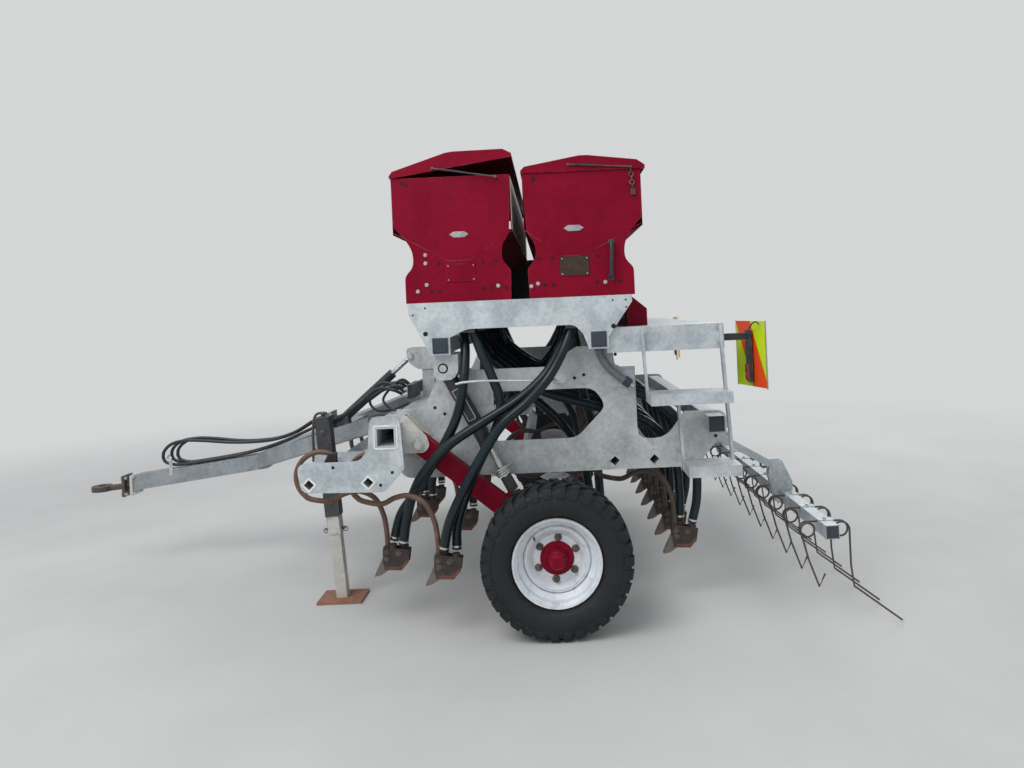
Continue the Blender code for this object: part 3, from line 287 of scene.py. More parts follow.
# ---------------------------------------------------------------------------------------- node helpers
class Nodes:
    """Short calls to add and link shader nodes in one tree."""

    def __init__(self, tree: bpy.types.NodeTree) -> None:
        """Keep the tree that nodes are added to."""
        self.tree = tree

    def add(self, kind: str, **values: object) -> bpy.types.Node:
        """Add a node and set its properties."""
        node = self.tree.nodes.new(kind)
        for key, value in values.items():
            setattr(node, key, value)
        return node

    def link(self, source: bpy.types.NodeSocket, target: bpy.types.NodeSocket) -> None:
        """Join two sockets."""
        self.tree.links.new(source, target)

    def noise(self, vector: bpy.types.NodeSocket, scale: float, detail: float = 4.0,
              rough: float = 0.55) -> bpy.types.NodeSocket:
        """Noise value over a vector."""
        node = self.add("ShaderNodeTexNoise")
        node.inputs["Scale"].default_value = scale
        node.inputs["Detail"].default_value = detail
        node.inputs["Roughness"].default_value = rough
        self.link(vector, node.inputs["Vector"])
        return node.outputs["Fac"]

    def ramp(self, value: bpy.types.NodeSocket, low: float, high: float, out_low: float = 0.0,
             out_high: float = 1.0) -> bpy.types.NodeSocket:
        """Map a value's range to another, clamped and smooth."""
        node = self.add("ShaderNodeMapRange", interpolation_type="SMOOTHSTEP")
        for key, number in (("From Min", low), ("From Max", high), ("To Min", out_low), ("To Max", out_high)):
            node.inputs[key].default_value = number
        self.link(value, node.inputs["Value"])
        return node.outputs["Result"]

    def math(self, operation: str, a: bpy.types.NodeSocket | float,
             b: bpy.types.NodeSocket | float) -> bpy.types.NodeSocket:
        """Value of a two-sided operation."""
        node = self.add("ShaderNodeMath", operation=operation, use_clamp=False)
        for socket, value in zip(node.inputs, (a, b)):
            if isinstance(value, (int, float)):
                socket.default_value = value
            else:
                self.link(value, socket)
        return node.outputs[0]

    def mix(self, share: bpy.types.NodeSocket, a: object, b: object) -> bpy.types.NodeSocket:
        """Colour between a and b."""
        node = self.add("ShaderNodeMix", data_type="RGBA")
        self.link(share, node.inputs[0])
        for socket, value in ((node.inputs[6], a), (node.inputs[7], b)):
            if isinstance(value, bpy.types.NodeSocket):
                self.link(value, socket)
            else:
                socket.default_value = (*value, 1.0)
        return node.outputs[2]

    def group(self, tree: bpy.types.NodeTree, **values: float) -> bpy.types.Node:
        """Place a node group with its own values."""
        node = self.add("ShaderNodeGroup")
        node.node_tree = tree
        for key, value in values.items():
            node.inputs[key].default_value = value
        return node


def new_group(name: str, inputs: Sequence[tuple[str, float]], outputs: Sequence[str]) -> tuple[
        bpy.types.NodeTree, Nodes, bpy.types.Node, bpy.types.Node]:
    """Start a shader node group with float sockets.

    Args:
        name: name of the group.
        inputs: name and default of each input.
        outputs: name of each output.

    Returns:
        The tree, its helper, and the group's input and output nodes.
    """
    tree = bpy.data.node_groups.new(name, "ShaderNodeTree")
    for key, value in inputs:
        socket = tree.interface.new_socket(key, in_out="INPUT", socket_type="NodeSocketFloat")
        socket.default_value = value
    for key in outputs:
        tree.interface.new_socket(key, in_out="OUTPUT", socket_type="NodeSocketFloat")
    nodes = Nodes(tree)
    return tree, nodes, nodes.add("NodeGroupInput"), nodes.add("NodeGroupOutput")


class Effects:
    """Masks that several finishes share, each built once as a node group."""

    def __init__(self) -> None:
        """Build all groups."""
        self.mottle = self._mottle()
        self.edges = self._edges()
        self.dust = self._dust()
        self.grime = self._grime()

    @staticmethod
    def _mottle() -> bpy.types.NodeTree:
        """Zinc spangle: soft clouds with crystal patches inside them."""
        tree, nodes, inlet, outlet = new_group("zinc_mottle", [("Scale", 1.0)], ["Clouds", "Crystals", "Streaks"])
        place = nodes.add("ShaderNodeTexCoord").outputs["Object"]
        scaled = nodes.add("ShaderNodeVectorMath", operation="SCALE")
        nodes.link(place, scaled.inputs[0])
        nodes.link(inlet.outputs["Scale"], scaled.inputs["Scale"])
        vector = scaled.outputs["Vector"]
        nodes.link(nodes.ramp(nodes.noise(vector, 5.0, 6.0), 0.36, 0.64), outlet.inputs["Clouds"])
        cells = nodes.add("ShaderNodeTexVoronoi", feature="SMOOTH_F1")
        cells.inputs["Scale"].default_value = 38.0
        cells.inputs["Randomness"].default_value = 1.0
        nodes.link(vector, cells.inputs["Vector"])
        nodes.link(nodes.ramp(cells.outputs["Distance"], 0.1, 0.75), outlet.inputs["Crystals"])
        squash = nodes.add("ShaderNodeMapping")
        squash.inputs["Scale"].default_value = (14.0, 14.0, 1.6)
        nodes.link(vector, squash.inputs["Vector"])
        nodes.link(nodes.ramp(nodes.noise(squash.outputs["Vector"], 1.0, 5.0), 0.50, 0.72), outlet.inputs["Streaks"])
        return tree

    @staticmethod
    def _edges() -> bpy.types.NodeTree:
        """Worn edges: where a rounded normal leaves the face normal, broken up by noise."""
        tree, nodes, inlet, outlet = new_group("edge_wear", [("Radius", 0.004), ("Amount", 0.5)], ["Wear"])
        rounded = nodes.add("ShaderNodeBevel")
        rounded.samples = 4
        nodes.link(inlet.outputs["Radius"], rounded.inputs["Radius"])
        normal = nodes.add("ShaderNodeNewGeometry").outputs["Normal"]
        dot = nodes.add("ShaderNodeVectorMath", operation="DOT_PRODUCT")
        nodes.link(rounded.outputs["Normal"], dot.inputs[0])
        nodes.link(normal, dot.inputs[1])
        bend = nodes.ramp(nodes.math("SUBTRACT", 1.0, dot.outputs["Value"]), 0.02, 0.14)
        chips = nodes.ramp(nodes.noise(nodes.add("ShaderNodeTexCoord").outputs["Object"], 24.0, 5.0), 0.42, 0.60)
        nodes.link(nodes.math("MULTIPLY", nodes.math("MULTIPLY", bend, chips), inlet.outputs["Amount"]),
                   outlet.inputs["Wear"])
        return tree

    @staticmethod
    def _dust() -> bpy.types.NodeTree:
        """Dust that settles on upward faces and near the ground."""
        tree, nodes, inlet, outlet = new_group("dust", [("Amount", 0.4), ("Top", 0.7)], ["Dust"])
        geometry = nodes.add("ShaderNodeNewGeometry")
        split = nodes.add("ShaderNodeSeparateXYZ")
        nodes.link(geometry.outputs["Normal"], split.inputs[0])
        place = nodes.add("ShaderNodeTexCoord").outputs["Object"]
        height = nodes.add("ShaderNodeSeparateXYZ")
        nodes.link(place, height.inputs[0])
        low = nodes.ramp(height.outputs["Z"], 0.0, 0.9, 0.7, 0.0)
        up = nodes.math("MULTIPLY", nodes.ramp(split.outputs["Z"], 0.3, 1.0), inlet.outputs["Top"])
        cloud = nodes.ramp(nodes.noise(place, 9.0, 6.0), 0.30, 0.70, 0.25, 1.0)
        total = nodes.math("MULTIPLY", nodes.math("MULTIPLY", nodes.math("MAXIMUM", up, low), cloud),
                           inlet.outputs["Amount"])
        nodes.link(total, outlet.inputs["Dust"])
        return tree

    @staticmethod
    def _grime() -> bpy.types.NodeTree:
        """Rust or dirt spots, and a fine grain."""
        tree, nodes, inlet, outlet = new_group("grime", [("Scale", 1.0), ("Amount", 0.4)], ["Spots", "Grain"])
        place = nodes.add("ShaderNodeTexCoord").outputs["Object"]
        scaled = nodes.add("ShaderNodeVectorMath", operation="SCALE")
        nodes.link(place, scaled.inputs[0])
        nodes.link(inlet.outputs["Scale"], scaled.inputs["Scale"])
        spots = nodes.ramp(nodes.noise(scaled.outputs["Vector"], 12.0, 8.0, 0.65), 0.52, 0.70)
        nodes.link(nodes.math("MULTIPLY", spots, inlet.outputs["Amount"]), outlet.inputs["Spots"])
        nodes.link(nodes.noise(scaled.outputs["Vector"], 120.0, 3.0), outlet.inputs["Grain"])
        return tree


Colour = tuple[float, float, float]
BACKDROP: Colour = (0.66, 0.67, 0.675)


@dataclass(frozen=True)
class Finish:
    """One surface finish; `base` and `second` are mixed by clouds, then dust and spots lie over them."""

    name: str
    slot: str
    base: Colour
    second: Colour
    spots: Colour
    dust: Colour = (0.36, 0.33, 0.29)
    metallic: float = 0.0
    roughness: float = 0.5
    rough_spread: float = 0.15
    spot_amount: float = 0.3
    dust_amount: float = 0.3
    dust_top: float = 0.7
    wear: float = 0.0
    wear_colour: Colour = (0.45, 0.46, 0.47)
    scale: float = 1.0
    bump: float = 0.0006
    coat: float = 0.0
    specular: float = 0.5

    def make(self, effects: Effects) -> bpy.types.Material:
        """Build the material.

        Args:
            effects: the shared node groups.

        Returns:
            The new material.
        """
        material = bpy.data.materials.new(self.name)
        material.use_nodes = True
        material.diffuse_color = (*self.base, 1.0)
        nodes = Nodes(material.node_tree)
        shader = material.node_tree.nodes["Principled BSDF"]
        mottle = nodes.group(effects.mottle, Scale=self.scale)
        grime = nodes.group(effects.grime, Scale=self.scale, Amount=self.spot_amount)
        dust = nodes.group(effects.dust, Amount=self.dust_amount, Top=self.dust_top)
        blend = nodes.math("ADD", nodes.math("MULTIPLY", mottle.outputs["Clouds"], 0.62),
                           nodes.math("MULTIPLY", mottle.outputs["Crystals"], 0.38))
        colour = nodes.mix(blend, self.base, self.second)
        colour = nodes.mix(grime.outputs["Spots"], colour, self.spots)
        bare = grime.outputs["Spots"]
        if self.wear:
            edges = nodes.group(effects.edges, Radius=0.004, Amount=self.wear)
            colour = nodes.mix(edges.outputs["Wear"], colour, self.wear_colour)
        colour = nodes.mix(dust.outputs["Dust"], colour, self.dust)
        nodes.link(colour, shader.inputs["Base Color"])
        rough = nodes.math("ADD", nodes.math("MULTIPLY", mottle.outputs["Clouds"], self.rough_spread),
                           self.roughness - self.rough_spread / 2)
        rough = nodes.math("ADD", rough, nodes.math("MULTIPLY", dust.outputs["Dust"], 0.30))
        rough = nodes.math("ADD", rough, nodes.math("MULTIPLY", bare, 0.25))
        nodes.link(rough, shader.inputs["Roughness"])
        if self.metallic:
            cover = nodes.math("SUBTRACT", 1.0, nodes.math("MAXIMUM", dust.outputs["Dust"], bare))
            nodes.link(nodes.math("MULTIPLY", cover, self.metallic), shader.inputs["Metallic"])
        shader.inputs["Coat Weight"].default_value = self.coat
        shader.inputs["Specular IOR Level"].default_value = self.specular
        bump = nodes.add("ShaderNodeBump")
        bump.inputs["Strength"].default_value = 0.6
        bump.inputs["Distance"].default_value = self.bump
        height = nodes.math("ADD", nodes.math("MULTIPLY", grime.outputs["Grain"], 0.5), mottle.outputs["Crystals"])
        nodes.link(height, bump.inputs["Height"])
        nodes.link(bump.outputs["Normal"], shader.inputs["Normal"])
        return material


FINISHES = (
    Finish("galvanised", "galvanised_steel", (0.40, 0.45, 0.485), (0.63, 0.675, 0.70), (0.30, 0.28, 0.26),
           metallic=0.45, roughness=0.50, spot_amount=0.30, dust_amount=0.30, scale=1.6, bump=0.0004),
    Finish("weathered_zinc", "galvanised_steel", (0.38, 0.41, 0.42), (0.60, 0.62, 0.62), (0.27, 0.23, 0.20),
           metallic=0.35, roughness=0.60, spot_amount=0.40, dust_amount=0.40, scale=1.3, bump=0.0005),
    Finish("dull_zinc", "galvanised_steel", (0.23, 0.26, 0.285), (0.37, 0.40, 0.42), (0.18, 0.16, 0.14),
           metallic=0.5, roughness=0.50, spot_amount=0.40, dust_amount=0.30, scale=1.8, bump=0.0004),
    Finish("beige_zinc", "galvanised_steel", (0.50, 0.485, 0.45), (0.68, 0.665, 0.62), (0.34, 0.29, 0.24),
           metallic=0.20, roughness=0.60, spot_amount=0.40, dust_amount=0.30, scale=2.2, bump=0.0005),
    Finish("crimson", "crimson_paint", (0.185, 0.001, 0.015), (0.240, 0.002, 0.021), (0.10, 0.006, 0.012),
           dust=(0.30, 0.12, 0.13), roughness=0.48, spot_amount=0.25, dust_amount=0.05, wear=0.7,
           wear_colour=(0.30, 0.14, 0.13), bump=0.0002, specular=0.10),
    # shaded_trough_crimson: a darker, duller copy of the crimson, painted shade on the troughs under and between the
    # hoppers
    Finish("shaded_trough_crimson", "crimson_paint", (0.13, 0.004, 0.015), (0.17, 0.007, 0.021), (0.08, 0.012, 0.014),
           dust=(0.26, 0.15, 0.15), roughness=0.85, spot_amount=0.30, dust_amount=0.10, bump=0.0002,
           specular=0.08),
    # shaded_crimson: a darker copy of the crimson, painted shade at the edges of open holes
    Finish("shaded_crimson", "crimson_paint", (0.075, 0.004, 0.010), (0.10, 0.006, 0.014), (0.05, 0.01, 0.012),
           roughness=0.65, dust_amount=0.0, specular=0.15),
    # lit_zinc: a much paler copy of the zinc. It is painted light on the front hopper's rear sheet and a painted
    # highlight on tube ends and rims.
    Finish("lit_zinc", "galvanised_steel", (0.74, 0.74, 0.71), (0.86, 0.86, 0.83), (0.40, 0.35, 0.28),
           metallic=0.15, roughness=0.5, spot_amount=0.3, dust_amount=0.1, scale=3.0),
    # dark_sheet: near-black sheet; on the sheet between the hoppers it is painted shade
    Finish("dark_sheet", "galvanised_steel", (0.07, 0.075, 0.08), (0.13, 0.135, 0.14), (0.05, 0.04, 0.035),
           metallic=0.3, roughness=0.6),
    Finish("spring_steel", "spring_steel", (0.095, 0.050, 0.036), (0.180, 0.098, 0.068), (0.20, 0.095, 0.052),
           metallic=0.25, roughness=0.52, spot_amount=0.6, dust_amount=0.20, scale=3.0),
    Finish("tine_wire", "spring_steel", (0.045, 0.043, 0.042), (0.085, 0.080, 0.077), (0.12, 0.075, 0.05),
           metallic=0.30, roughness=0.55, spot_amount=0.4, dust_amount=0.20, scale=3.0),
    Finish("opener", "spring_steel", (0.026, 0.019, 0.018), (0.055, 0.038, 0.033), (0.13, 0.055, 0.032),
           metallic=0.25, roughness=0.58, spot_amount=0.5, dust_amount=0.12, dust_top=0.3, wear=0.5,
           wear_colour=(0.20, 0.17, 0.15), scale=3.0),
    Finish("worn_tip", "spring_steel", (0.12, 0.095, 0.082), (0.20, 0.165, 0.145), (0.19, 0.085, 0.045),
           metallic=0.45, roughness=0.5, spot_amount=0.6, scale=3.0),
    Finish("seed_hose", "seed_hose", (0.003, 0.009, 0.012), (0.006, 0.017, 0.023), (0.05, 0.06, 0.065),
           roughness=0.30, rough_spread=0.2, spot_amount=0.10, dust_amount=0.05, bump=0.0001, specular=0.35),
    Finish("grey_hose", "seed_hose", (0.12, 0.135, 0.145), (0.18, 0.195, 0.205), (0.08, 0.08, 0.08),
           roughness=0.45),
    Finish("black_hose", "hydraulic_hose", (0.010, 0.013, 0.017), (0.022, 0.028, 0.034), (0.10, 0.10, 0.09),
           roughness=0.42, spot_amount=0.25, dust_amount=0.25),
    Finish("black_paint", "black_paint", (0.014, 0.016, 0.020), (0.030, 0.032, 0.036), (0.12, 0.09, 0.07),
           roughness=0.42, spot_amount=0.30, dust_amount=0.25, wear=0.6),
    Finish("cap_plastic", "black_paint", (0.034, 0.044, 0.057), (0.050, 0.062, 0.077), (0.11, 0.11, 0.105),
           roughness=0.62, spot_amount=0.30, dust_amount=0.15, specular=0.3),
    Finish("plated", "plated_steel", (0.52, 0.53, 0.54), (0.66, 0.66, 0.65), (0.28, 0.20, 0.14),
           metallic=0.9, roughness=0.30, spot_amount=0.30, dust_amount=0.12, scale=3.0),
    Finish("jack_steel", "brown_steel", (0.036, 0.037, 0.041), (0.068, 0.069, 0.074), (0.13, 0.075, 0.05),
           metallic=0.3, roughness=0.55, spot_amount=0.5, dust_amount=0.15, wear=0.5, scale=2.5),
    Finish("brown_steel", "brown_steel", (0.055, 0.045, 0.040), (0.10, 0.080, 0.066), (0.20, 0.095, 0.050),
           metallic=0.3, roughness=0.55, spot_amount=0.6, dust_amount=0.25, wear=0.5, scale=2.5),
    Finish("boot_rust", "brown_steel", (0.115, 0.036, 0.024), (0.175, 0.060, 0.038), (0.06, 0.03, 0.025),
           roughness=0.7, spot_amount=0.8, dust_amount=0.1, scale=4.0),
    Finish("rusty_plate", "brown_steel", (0.24, 0.085, 0.040), (0.35, 0.140, 0.070), (0.12, 0.055, 0.035),
           roughness=0.75, spot_amount=0.8, scale=4.0, bump=0.001),
    Finish("rim_silver", "rim_paint", (0.66, 0.71, 0.76), (0.78, 0.82, 0.86), (0.36, 0.22, 0.14),
           metallic=0.10, roughness=0.45, spot_amount=0.40, dust_amount=0.12, wear=0.9,
           wear_colour=(0.27, 0.14, 0.08), scale=2.2),
    Finish("tyre_rubber", "tyre", (0.007, 0.008, 0.010), (0.014, 0.016, 0.019), (0.036, 0.036, 0.037),
           dust=(0.10, 0.10, 0.10), roughness=0.62, spot_amount=0.35, dust_amount=0.12, scale=2.0,
           specular=0.35),
    Finish("label_plate", "plated_steel", (0.33, 0.34, 0.35), (0.46, 0.46, 0.46), (0.16, 0.12, 0.10),
           metallic=0.6, roughness=0.4, scale=4.0),
    Finish("brown_plate", "brown_steel", (0.042, 0.026, 0.021), (0.070, 0.045, 0.036), (0.12, 0.08, 0.06),
           roughness=0.7, scale=4.0, dust_amount=0.05, specular=0.15),
    # bare_hole: near-black, painted shade for the dark insides of open holes
    Finish("bare_hole", "black_paint", (0.008, 0.008, 0.009), (0.012, 0.011, 0.012), (0.02, 0.02, 0.02),
           roughness=0.9, dust_amount=0.0, spot_amount=0.0),
    Finish("lens_red", "marker_film", (0.30, 0.01, 0.01), (0.36, 0.02, 0.01), (0.2, 0.02, 0.02),
           roughness=0.2, coat=0.5, dust_amount=0.1),
)


class Paints:
    """All materials by name, built from the finishes, with the striped film beside them."""

    def __init__(self) -> None:
        """Build every material once."""
        effects = Effects()
        self.by_name = {finish.name: finish.make(effects) for finish in FINISHES}
        self.slots = {finish.name: finish.slot for finish in FINISHES}
        self.by_name["marker_film"] = self._film(effects)
        self.slots["marker_film"] = "marker_film"

    def __getitem__(self, name: str) -> bpy.types.Material:
        """A material by its name."""
        return self.by_name[name]

    @staticmethod
    def _film(effects: Effects) -> bpy.types.Material:
        """Hi-vis film with slanted red bands."""
        material = bpy.data.materials.new("marker_film")
        material.use_nodes = True
        nodes = Nodes(material.node_tree)
        shader = material.node_tree.nodes["Principled BSDF"]
        split = nodes.add("ShaderNodeSeparateXYZ")
        nodes.link(nodes.add("ShaderNodeTexCoord").outputs["Object"], split.inputs[0])
        across = nodes.math("ABSOLUTE", split.outputs["Y"], 0.0)
        slant = nodes.math("ADD", across, nodes.math("MULTIPLY", split.outputs["Z"], 0.48))
        wave = nodes.math("FRACT", nodes.math("ADD", nodes.math("MULTIPLY", slant, 3.2), 0.038), 0.0)
        band = nodes.math("GREATER_THAN", wave, 0.52)
        colour = nodes.mix(band, (0.66, 0.86, 0.010), (0.90, 0.085, 0.012))
        dust = nodes.group(effects.dust, Amount=0.25, Top=0.5)
        nodes.link(nodes.mix(dust.outputs["Dust"], colour, (0.40, 0.38, 0.30)), shader.inputs["Base Color"])
        shader.inputs["Roughness"].default_value = 0.35
        return material


# ---------------------------------------------------------------------------------------- assemblies
@dataclass
class Assembly:
    """A group of pieces that are built and dressed together."""

    paints: Paints

    def finish(self, shape: Shape, body: str, *finishes: str, bevel: float = 0.0) -> bpy.types.Object:
        """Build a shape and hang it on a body.

        Args:
            shape: the mesh data.
            body: the CAD body that it rides on.
            finishes: finish of each material slot.
            bevel: width of the edge bevel.

        Returns:
            The finished object.
        """
        piece = shape.build([self.paints[name] for name in finishes], bevel)
        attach(piece, body)
        log.info("%s: %d faces on %s", shape.name, len(shape.faces), body)
        return piece

    def dress(self, finish: str, *nodes: str) -> None:
        """Give CAD nodes a finish in place of the plain one."""
        for name in nodes:
            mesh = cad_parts[name].data
            mesh.materials.clear()
            mesh.materials.append(self.paints[finish])


@dataclass
class Studio:
    """Camera, lamps, floor and background."""

    lens: float = 755.0 / 1024.0 * 36.0
    eye: Point = (-0.017, 5.10, 1.598)
    roll: float = 0.043

    def build(self) -> None:
        """Place everything that isn't the machine."""
        self._camera()
        self._floor()
        self._lamps()
        view = bpy.context.scene.view_settings
        view.view_transform = "Standard"

    def _camera(self) -> None:
        """Level camera at the left side of the machine."""
        data = bpy.data.cameras.new("camera")
        data.sensor_width = 36.0
        data.lens = self.lens
        data.shift_x = -0.0371
        data.shift_y = -0.0723
        camera = bpy.data.objects.new("camera", data)
        face = Matrix.Rotation(math.pi, 4, "Z") @ Matrix.Rotation(math.pi / 2, 4, "X")
        camera.matrix_world = Matrix.Translation(at(*self.eye)) @ face @ Matrix.Rotation(-self.roll, 4, "Z")
        bpy.context.scene.collection.objects.link(camera)
        bpy.context.scene.camera = camera

    @staticmethod
    def _floor() -> None:
        """A plain pale floor under the wheels."""
        bpy.ops.mesh.primitive_plane_add(size=60.0, location=(0.0, 0.0, -0.0005))
        floor = bpy.context.object
        floor.name = "floor"
        material = bpy.data.materials.new("floor")
        material.use_nodes = True
        nodes = Nodes(material.node_tree)
        shader = material.node_tree.nodes["Principled BSDF"]
        place = nodes.add("ShaderNodeTexCoord").outputs["Object"]
        tone = nodes.ramp(nodes.noise(place, 1.2, 8.0), 0.3, 0.7)
        nodes.link(nodes.mix(tone, (0.56, 0.555, 0.545), (0.60, 0.595, 0.585)), shader.inputs["Base Color"])
        shader.inputs["Roughness"].default_value = 0.85
        away = nodes.add("ShaderNodeVectorMath", operation="LENGTH")
        nodes.link(place, away.inputs[0])
        far = nodes.add("ShaderNodeEmission")
        far.inputs["Color"].default_value = (*BACKDROP, 1.0)
        fade = nodes.add("ShaderNodeMixShader")
        nodes.link(nodes.ramp(away.outputs["Value"], 3.5, 9.0), fade.inputs[0])
        nodes.link(shader.outputs[0], fade.inputs[1])
        nodes.link(far.outputs[0], fade.inputs[2])
        nodes.link(fade.outputs[0], material.node_tree.nodes["Material Output"].inputs["Surface"])
        floor.data.materials.append(material)

    @staticmethod
    def _lamps() -> None:
        """Overcast sky and one broad soft lamp above and in front."""
        world = bpy.data.worlds.new("sky")
        world.use_nodes = True
        bpy.context.scene.world = world
        nodes = Nodes(world.node_tree)
        sky = world.node_tree.nodes["Background"]
        sky.inputs["Color"].default_value = (0.92, 0.96, 1.0, 1.0)
        sky.inputs["Strength"].default_value = 0.62
        wall = nodes.add("ShaderNodeBackground")
        wall.inputs["Color"].default_value = (*BACKDROP, 1.0)
        wall.inputs["Strength"].default_value = 1.0
        choose = nodes.add("ShaderNodeMixShader")
        nodes.link(nodes.add("ShaderNodeLightPath").outputs["Is Camera Ray"], choose.inputs[0])
        nodes.link(sky.outputs[0], choose.inputs[1])
        nodes.link(wall.outputs[0], choose.inputs[2])
        nodes.link(choose.outputs[0], world.node_tree.nodes["World Output"].inputs[0])
        for name, place, size, power in (("key", (2.5, 5.0, 6.5), 5.0, 330.0), ("fill", (-4.0, -5.0, 5.5), 5.0, 200.0)):
            data = bpy.data.lights.new(name, "AREA")
            data.size = size
            data.energy = power
            lamp = bpy.data.objects.new(name, data)
            lamp.location = place
            lamp.rotation_euler = (Vector((0.0, 0.0, 0.9)) - Vector(place)).to_track_quat("-Z", "Y").to_euler()
            bpy.context.scene.collection.objects.link(lamp)


@dataclass
class HydraulicHoses(Assembly):
    """Parked hose loops on the drawbar; their route is the frame's."""

    radius: float = 0.0105
    loop: tuple[Flat, ...] = (
        (1.449, 0.968), (1.490, 0.967), (1.570, 0.935), (1.690, 0.868), (1.840, 0.818), (2.000, 0.801),
        (2.160, 0.806), (2.320, 0.824), (2.450, 0.830), (2.540, 0.806), (2.588, 0.752), (2.580, 0.698),
        (2.520, 0.674), (2.440, 0.675), (2.340, 0.685), (2.180, 0.705), (2.040, 0.728), (1.900, 0.764),
        (1.760, 0.812), (1.640, 0.862), (1.550, 0.898), (1.490, 0.911), (1.449, 0.912))
    # name, y at the plate, y along the bar, reach of the loop
    rows: tuple[tuple[str, float, float, float], ...] = (
        ("hydraulic_hose_1", 0.080, -0.026, 0.000), ("hydraulic_hose_2", 0.122, 0.002, -0.055),
        ("hydraulic_hose_3", 0.164, 0.030, 0.030))

    def route(self, plate_y: float, bar_y: float, reach: float) -> list[Vector]:
        """Points of one loop.

        Args:
            plate_y: side place at the hose plate.
            bar_y: side place along the drawbar.
            reach: how much further forward the loop goes.

        Returns:
            Points in axle coordinates.
        """
        points = []
        for x, z in self.loop:
            share = min(1.0, max(0.0, (x - 1.49) / 0.55))
            share = share * share * (3 - 2 * share)
            far = min(1.0, max(0.0, (x - 1.60) / 0.90))
            points.append((x + reach * far, plate_y + (bar_y - plate_y) * share, z - 0.123 * reach * far))
        return smooth_path(points, 0.022)

    def build(self) -> None:
        """Sweep each hose in place of the plain one."""
        for name, plate_y, bar_y, reach in self.rows:
            path = self.route(plate_y, bar_y, reach)
            hose = Shape(name + "_run")
            hose.tube(path, self.radius, 14)
            piece = self.finish(hose, "drawbar", "black_hose")
            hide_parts(name)


# Middle hoses keep their row: x, z of each bend, by housing and rank.
INNER_ROUTES = {
    ("front", 0): [(0.430, 1.510), (0.430, 1.340), (0.450, 1.170), (0.520, 1.010), (0.640, 0.830),
                   (0.780, 0.640), (0.848, 0.520)],
    ("rear", 0): [(-0.120, 1.510), (-0.070, 1.340), (0.070, 1.190), (0.300, 1.060), (0.520, 0.930),
                  (0.700, 0.740), (0.788, 0.540)],
    ("front", 1): [(0.400, 1.510), (0.330, 1.340), (0.265, 1.200), (0.250, 1.080), (0.330, 0.930),
                   (0.440, 0.740), (0.500, 0.540)],
    ("rear", 1): [(-0.120, 1.510), (-0.045, 1.330), (0.080, 1.180), (0.240, 1.050), (0.350, 0.910),
                  (0.460, 0.720), (0.548, 0.540)],
    ("front", 2): [(0.410, 1.510), (0.330, 1.340), (0.160, 1.160), (-0.030, 0.980), (-0.150, 0.800),
                   (-0.190, 0.620)],
    ("rear", 2): [(-0.130, 1.510), (-0.150, 1.340), (-0.190, 1.100), (-0.236, 0.900), (-0.250, 0.640)],
    ("front", 3): [(0.420, 1.510), (0.300, 1.330), (0.050, 1.160), (-0.250, 1.060), (-0.530, 0.960),
                   (-0.655, 0.780), (-0.680, 0.580)],
    ("rear", 3): [(-0.130, 1.510), (-0.180, 1.330), (-0.350, 1.180), (-0.560, 1.090), (-0.710, 0.940),
                  (-0.765, 0.760), (-0.765, 0.560)],
}
# Outer hoses pass outside the side plates: x, y, z.
OUTER_ROUTES = {
    ("front", 0): [(0.440, 1.150, 1.510), (0.430, 1.200, 1.400), (0.440, 1.246, 1.250),
                   (0.480, 1.248, 1.080), (0.555, 1.248, 0.930), (0.640, 1.246, 0.800),
                   (0.730, 1.185, 0.670), (0.810, 1.142, 0.560)],
    ("rear", 0): [(-0.110, 1.150, 1.510), (-0.060, 1.210, 1.400), (0.020, 1.290, 1.275),
                  (0.160, 1.300, 1.155), (0.360, 1.300, 1.040), (0.520, 1.300, 0.940),
                  (0.650, 1.290, 0.810), (0.725, 1.242, 0.680), (0.770, 1.198, 0.540)],
    ("front", 1): [(0.385, 1.212, 1.510), (0.345, 1.235, 1.400), (0.290, 1.246, 1.260),
                   (0.255, 1.248, 1.130), (0.290, 1.250, 0.990), (0.380, 1.262, 0.830),
                   (0.455, 1.290, 0.660), (0.495, 1.305, 0.530)],
    ("rear", 1): [(-0.125, 1.220, 1.510), (-0.080, 1.270, 1.400), (0.000, 1.345, 1.270),
                  (0.110, 1.355, 1.150), (0.245, 1.357, 1.040), (0.345, 1.358, 0.900),
                  (0.440, 1.358, 0.740), (0.525, 1.360, 0.570)],
}


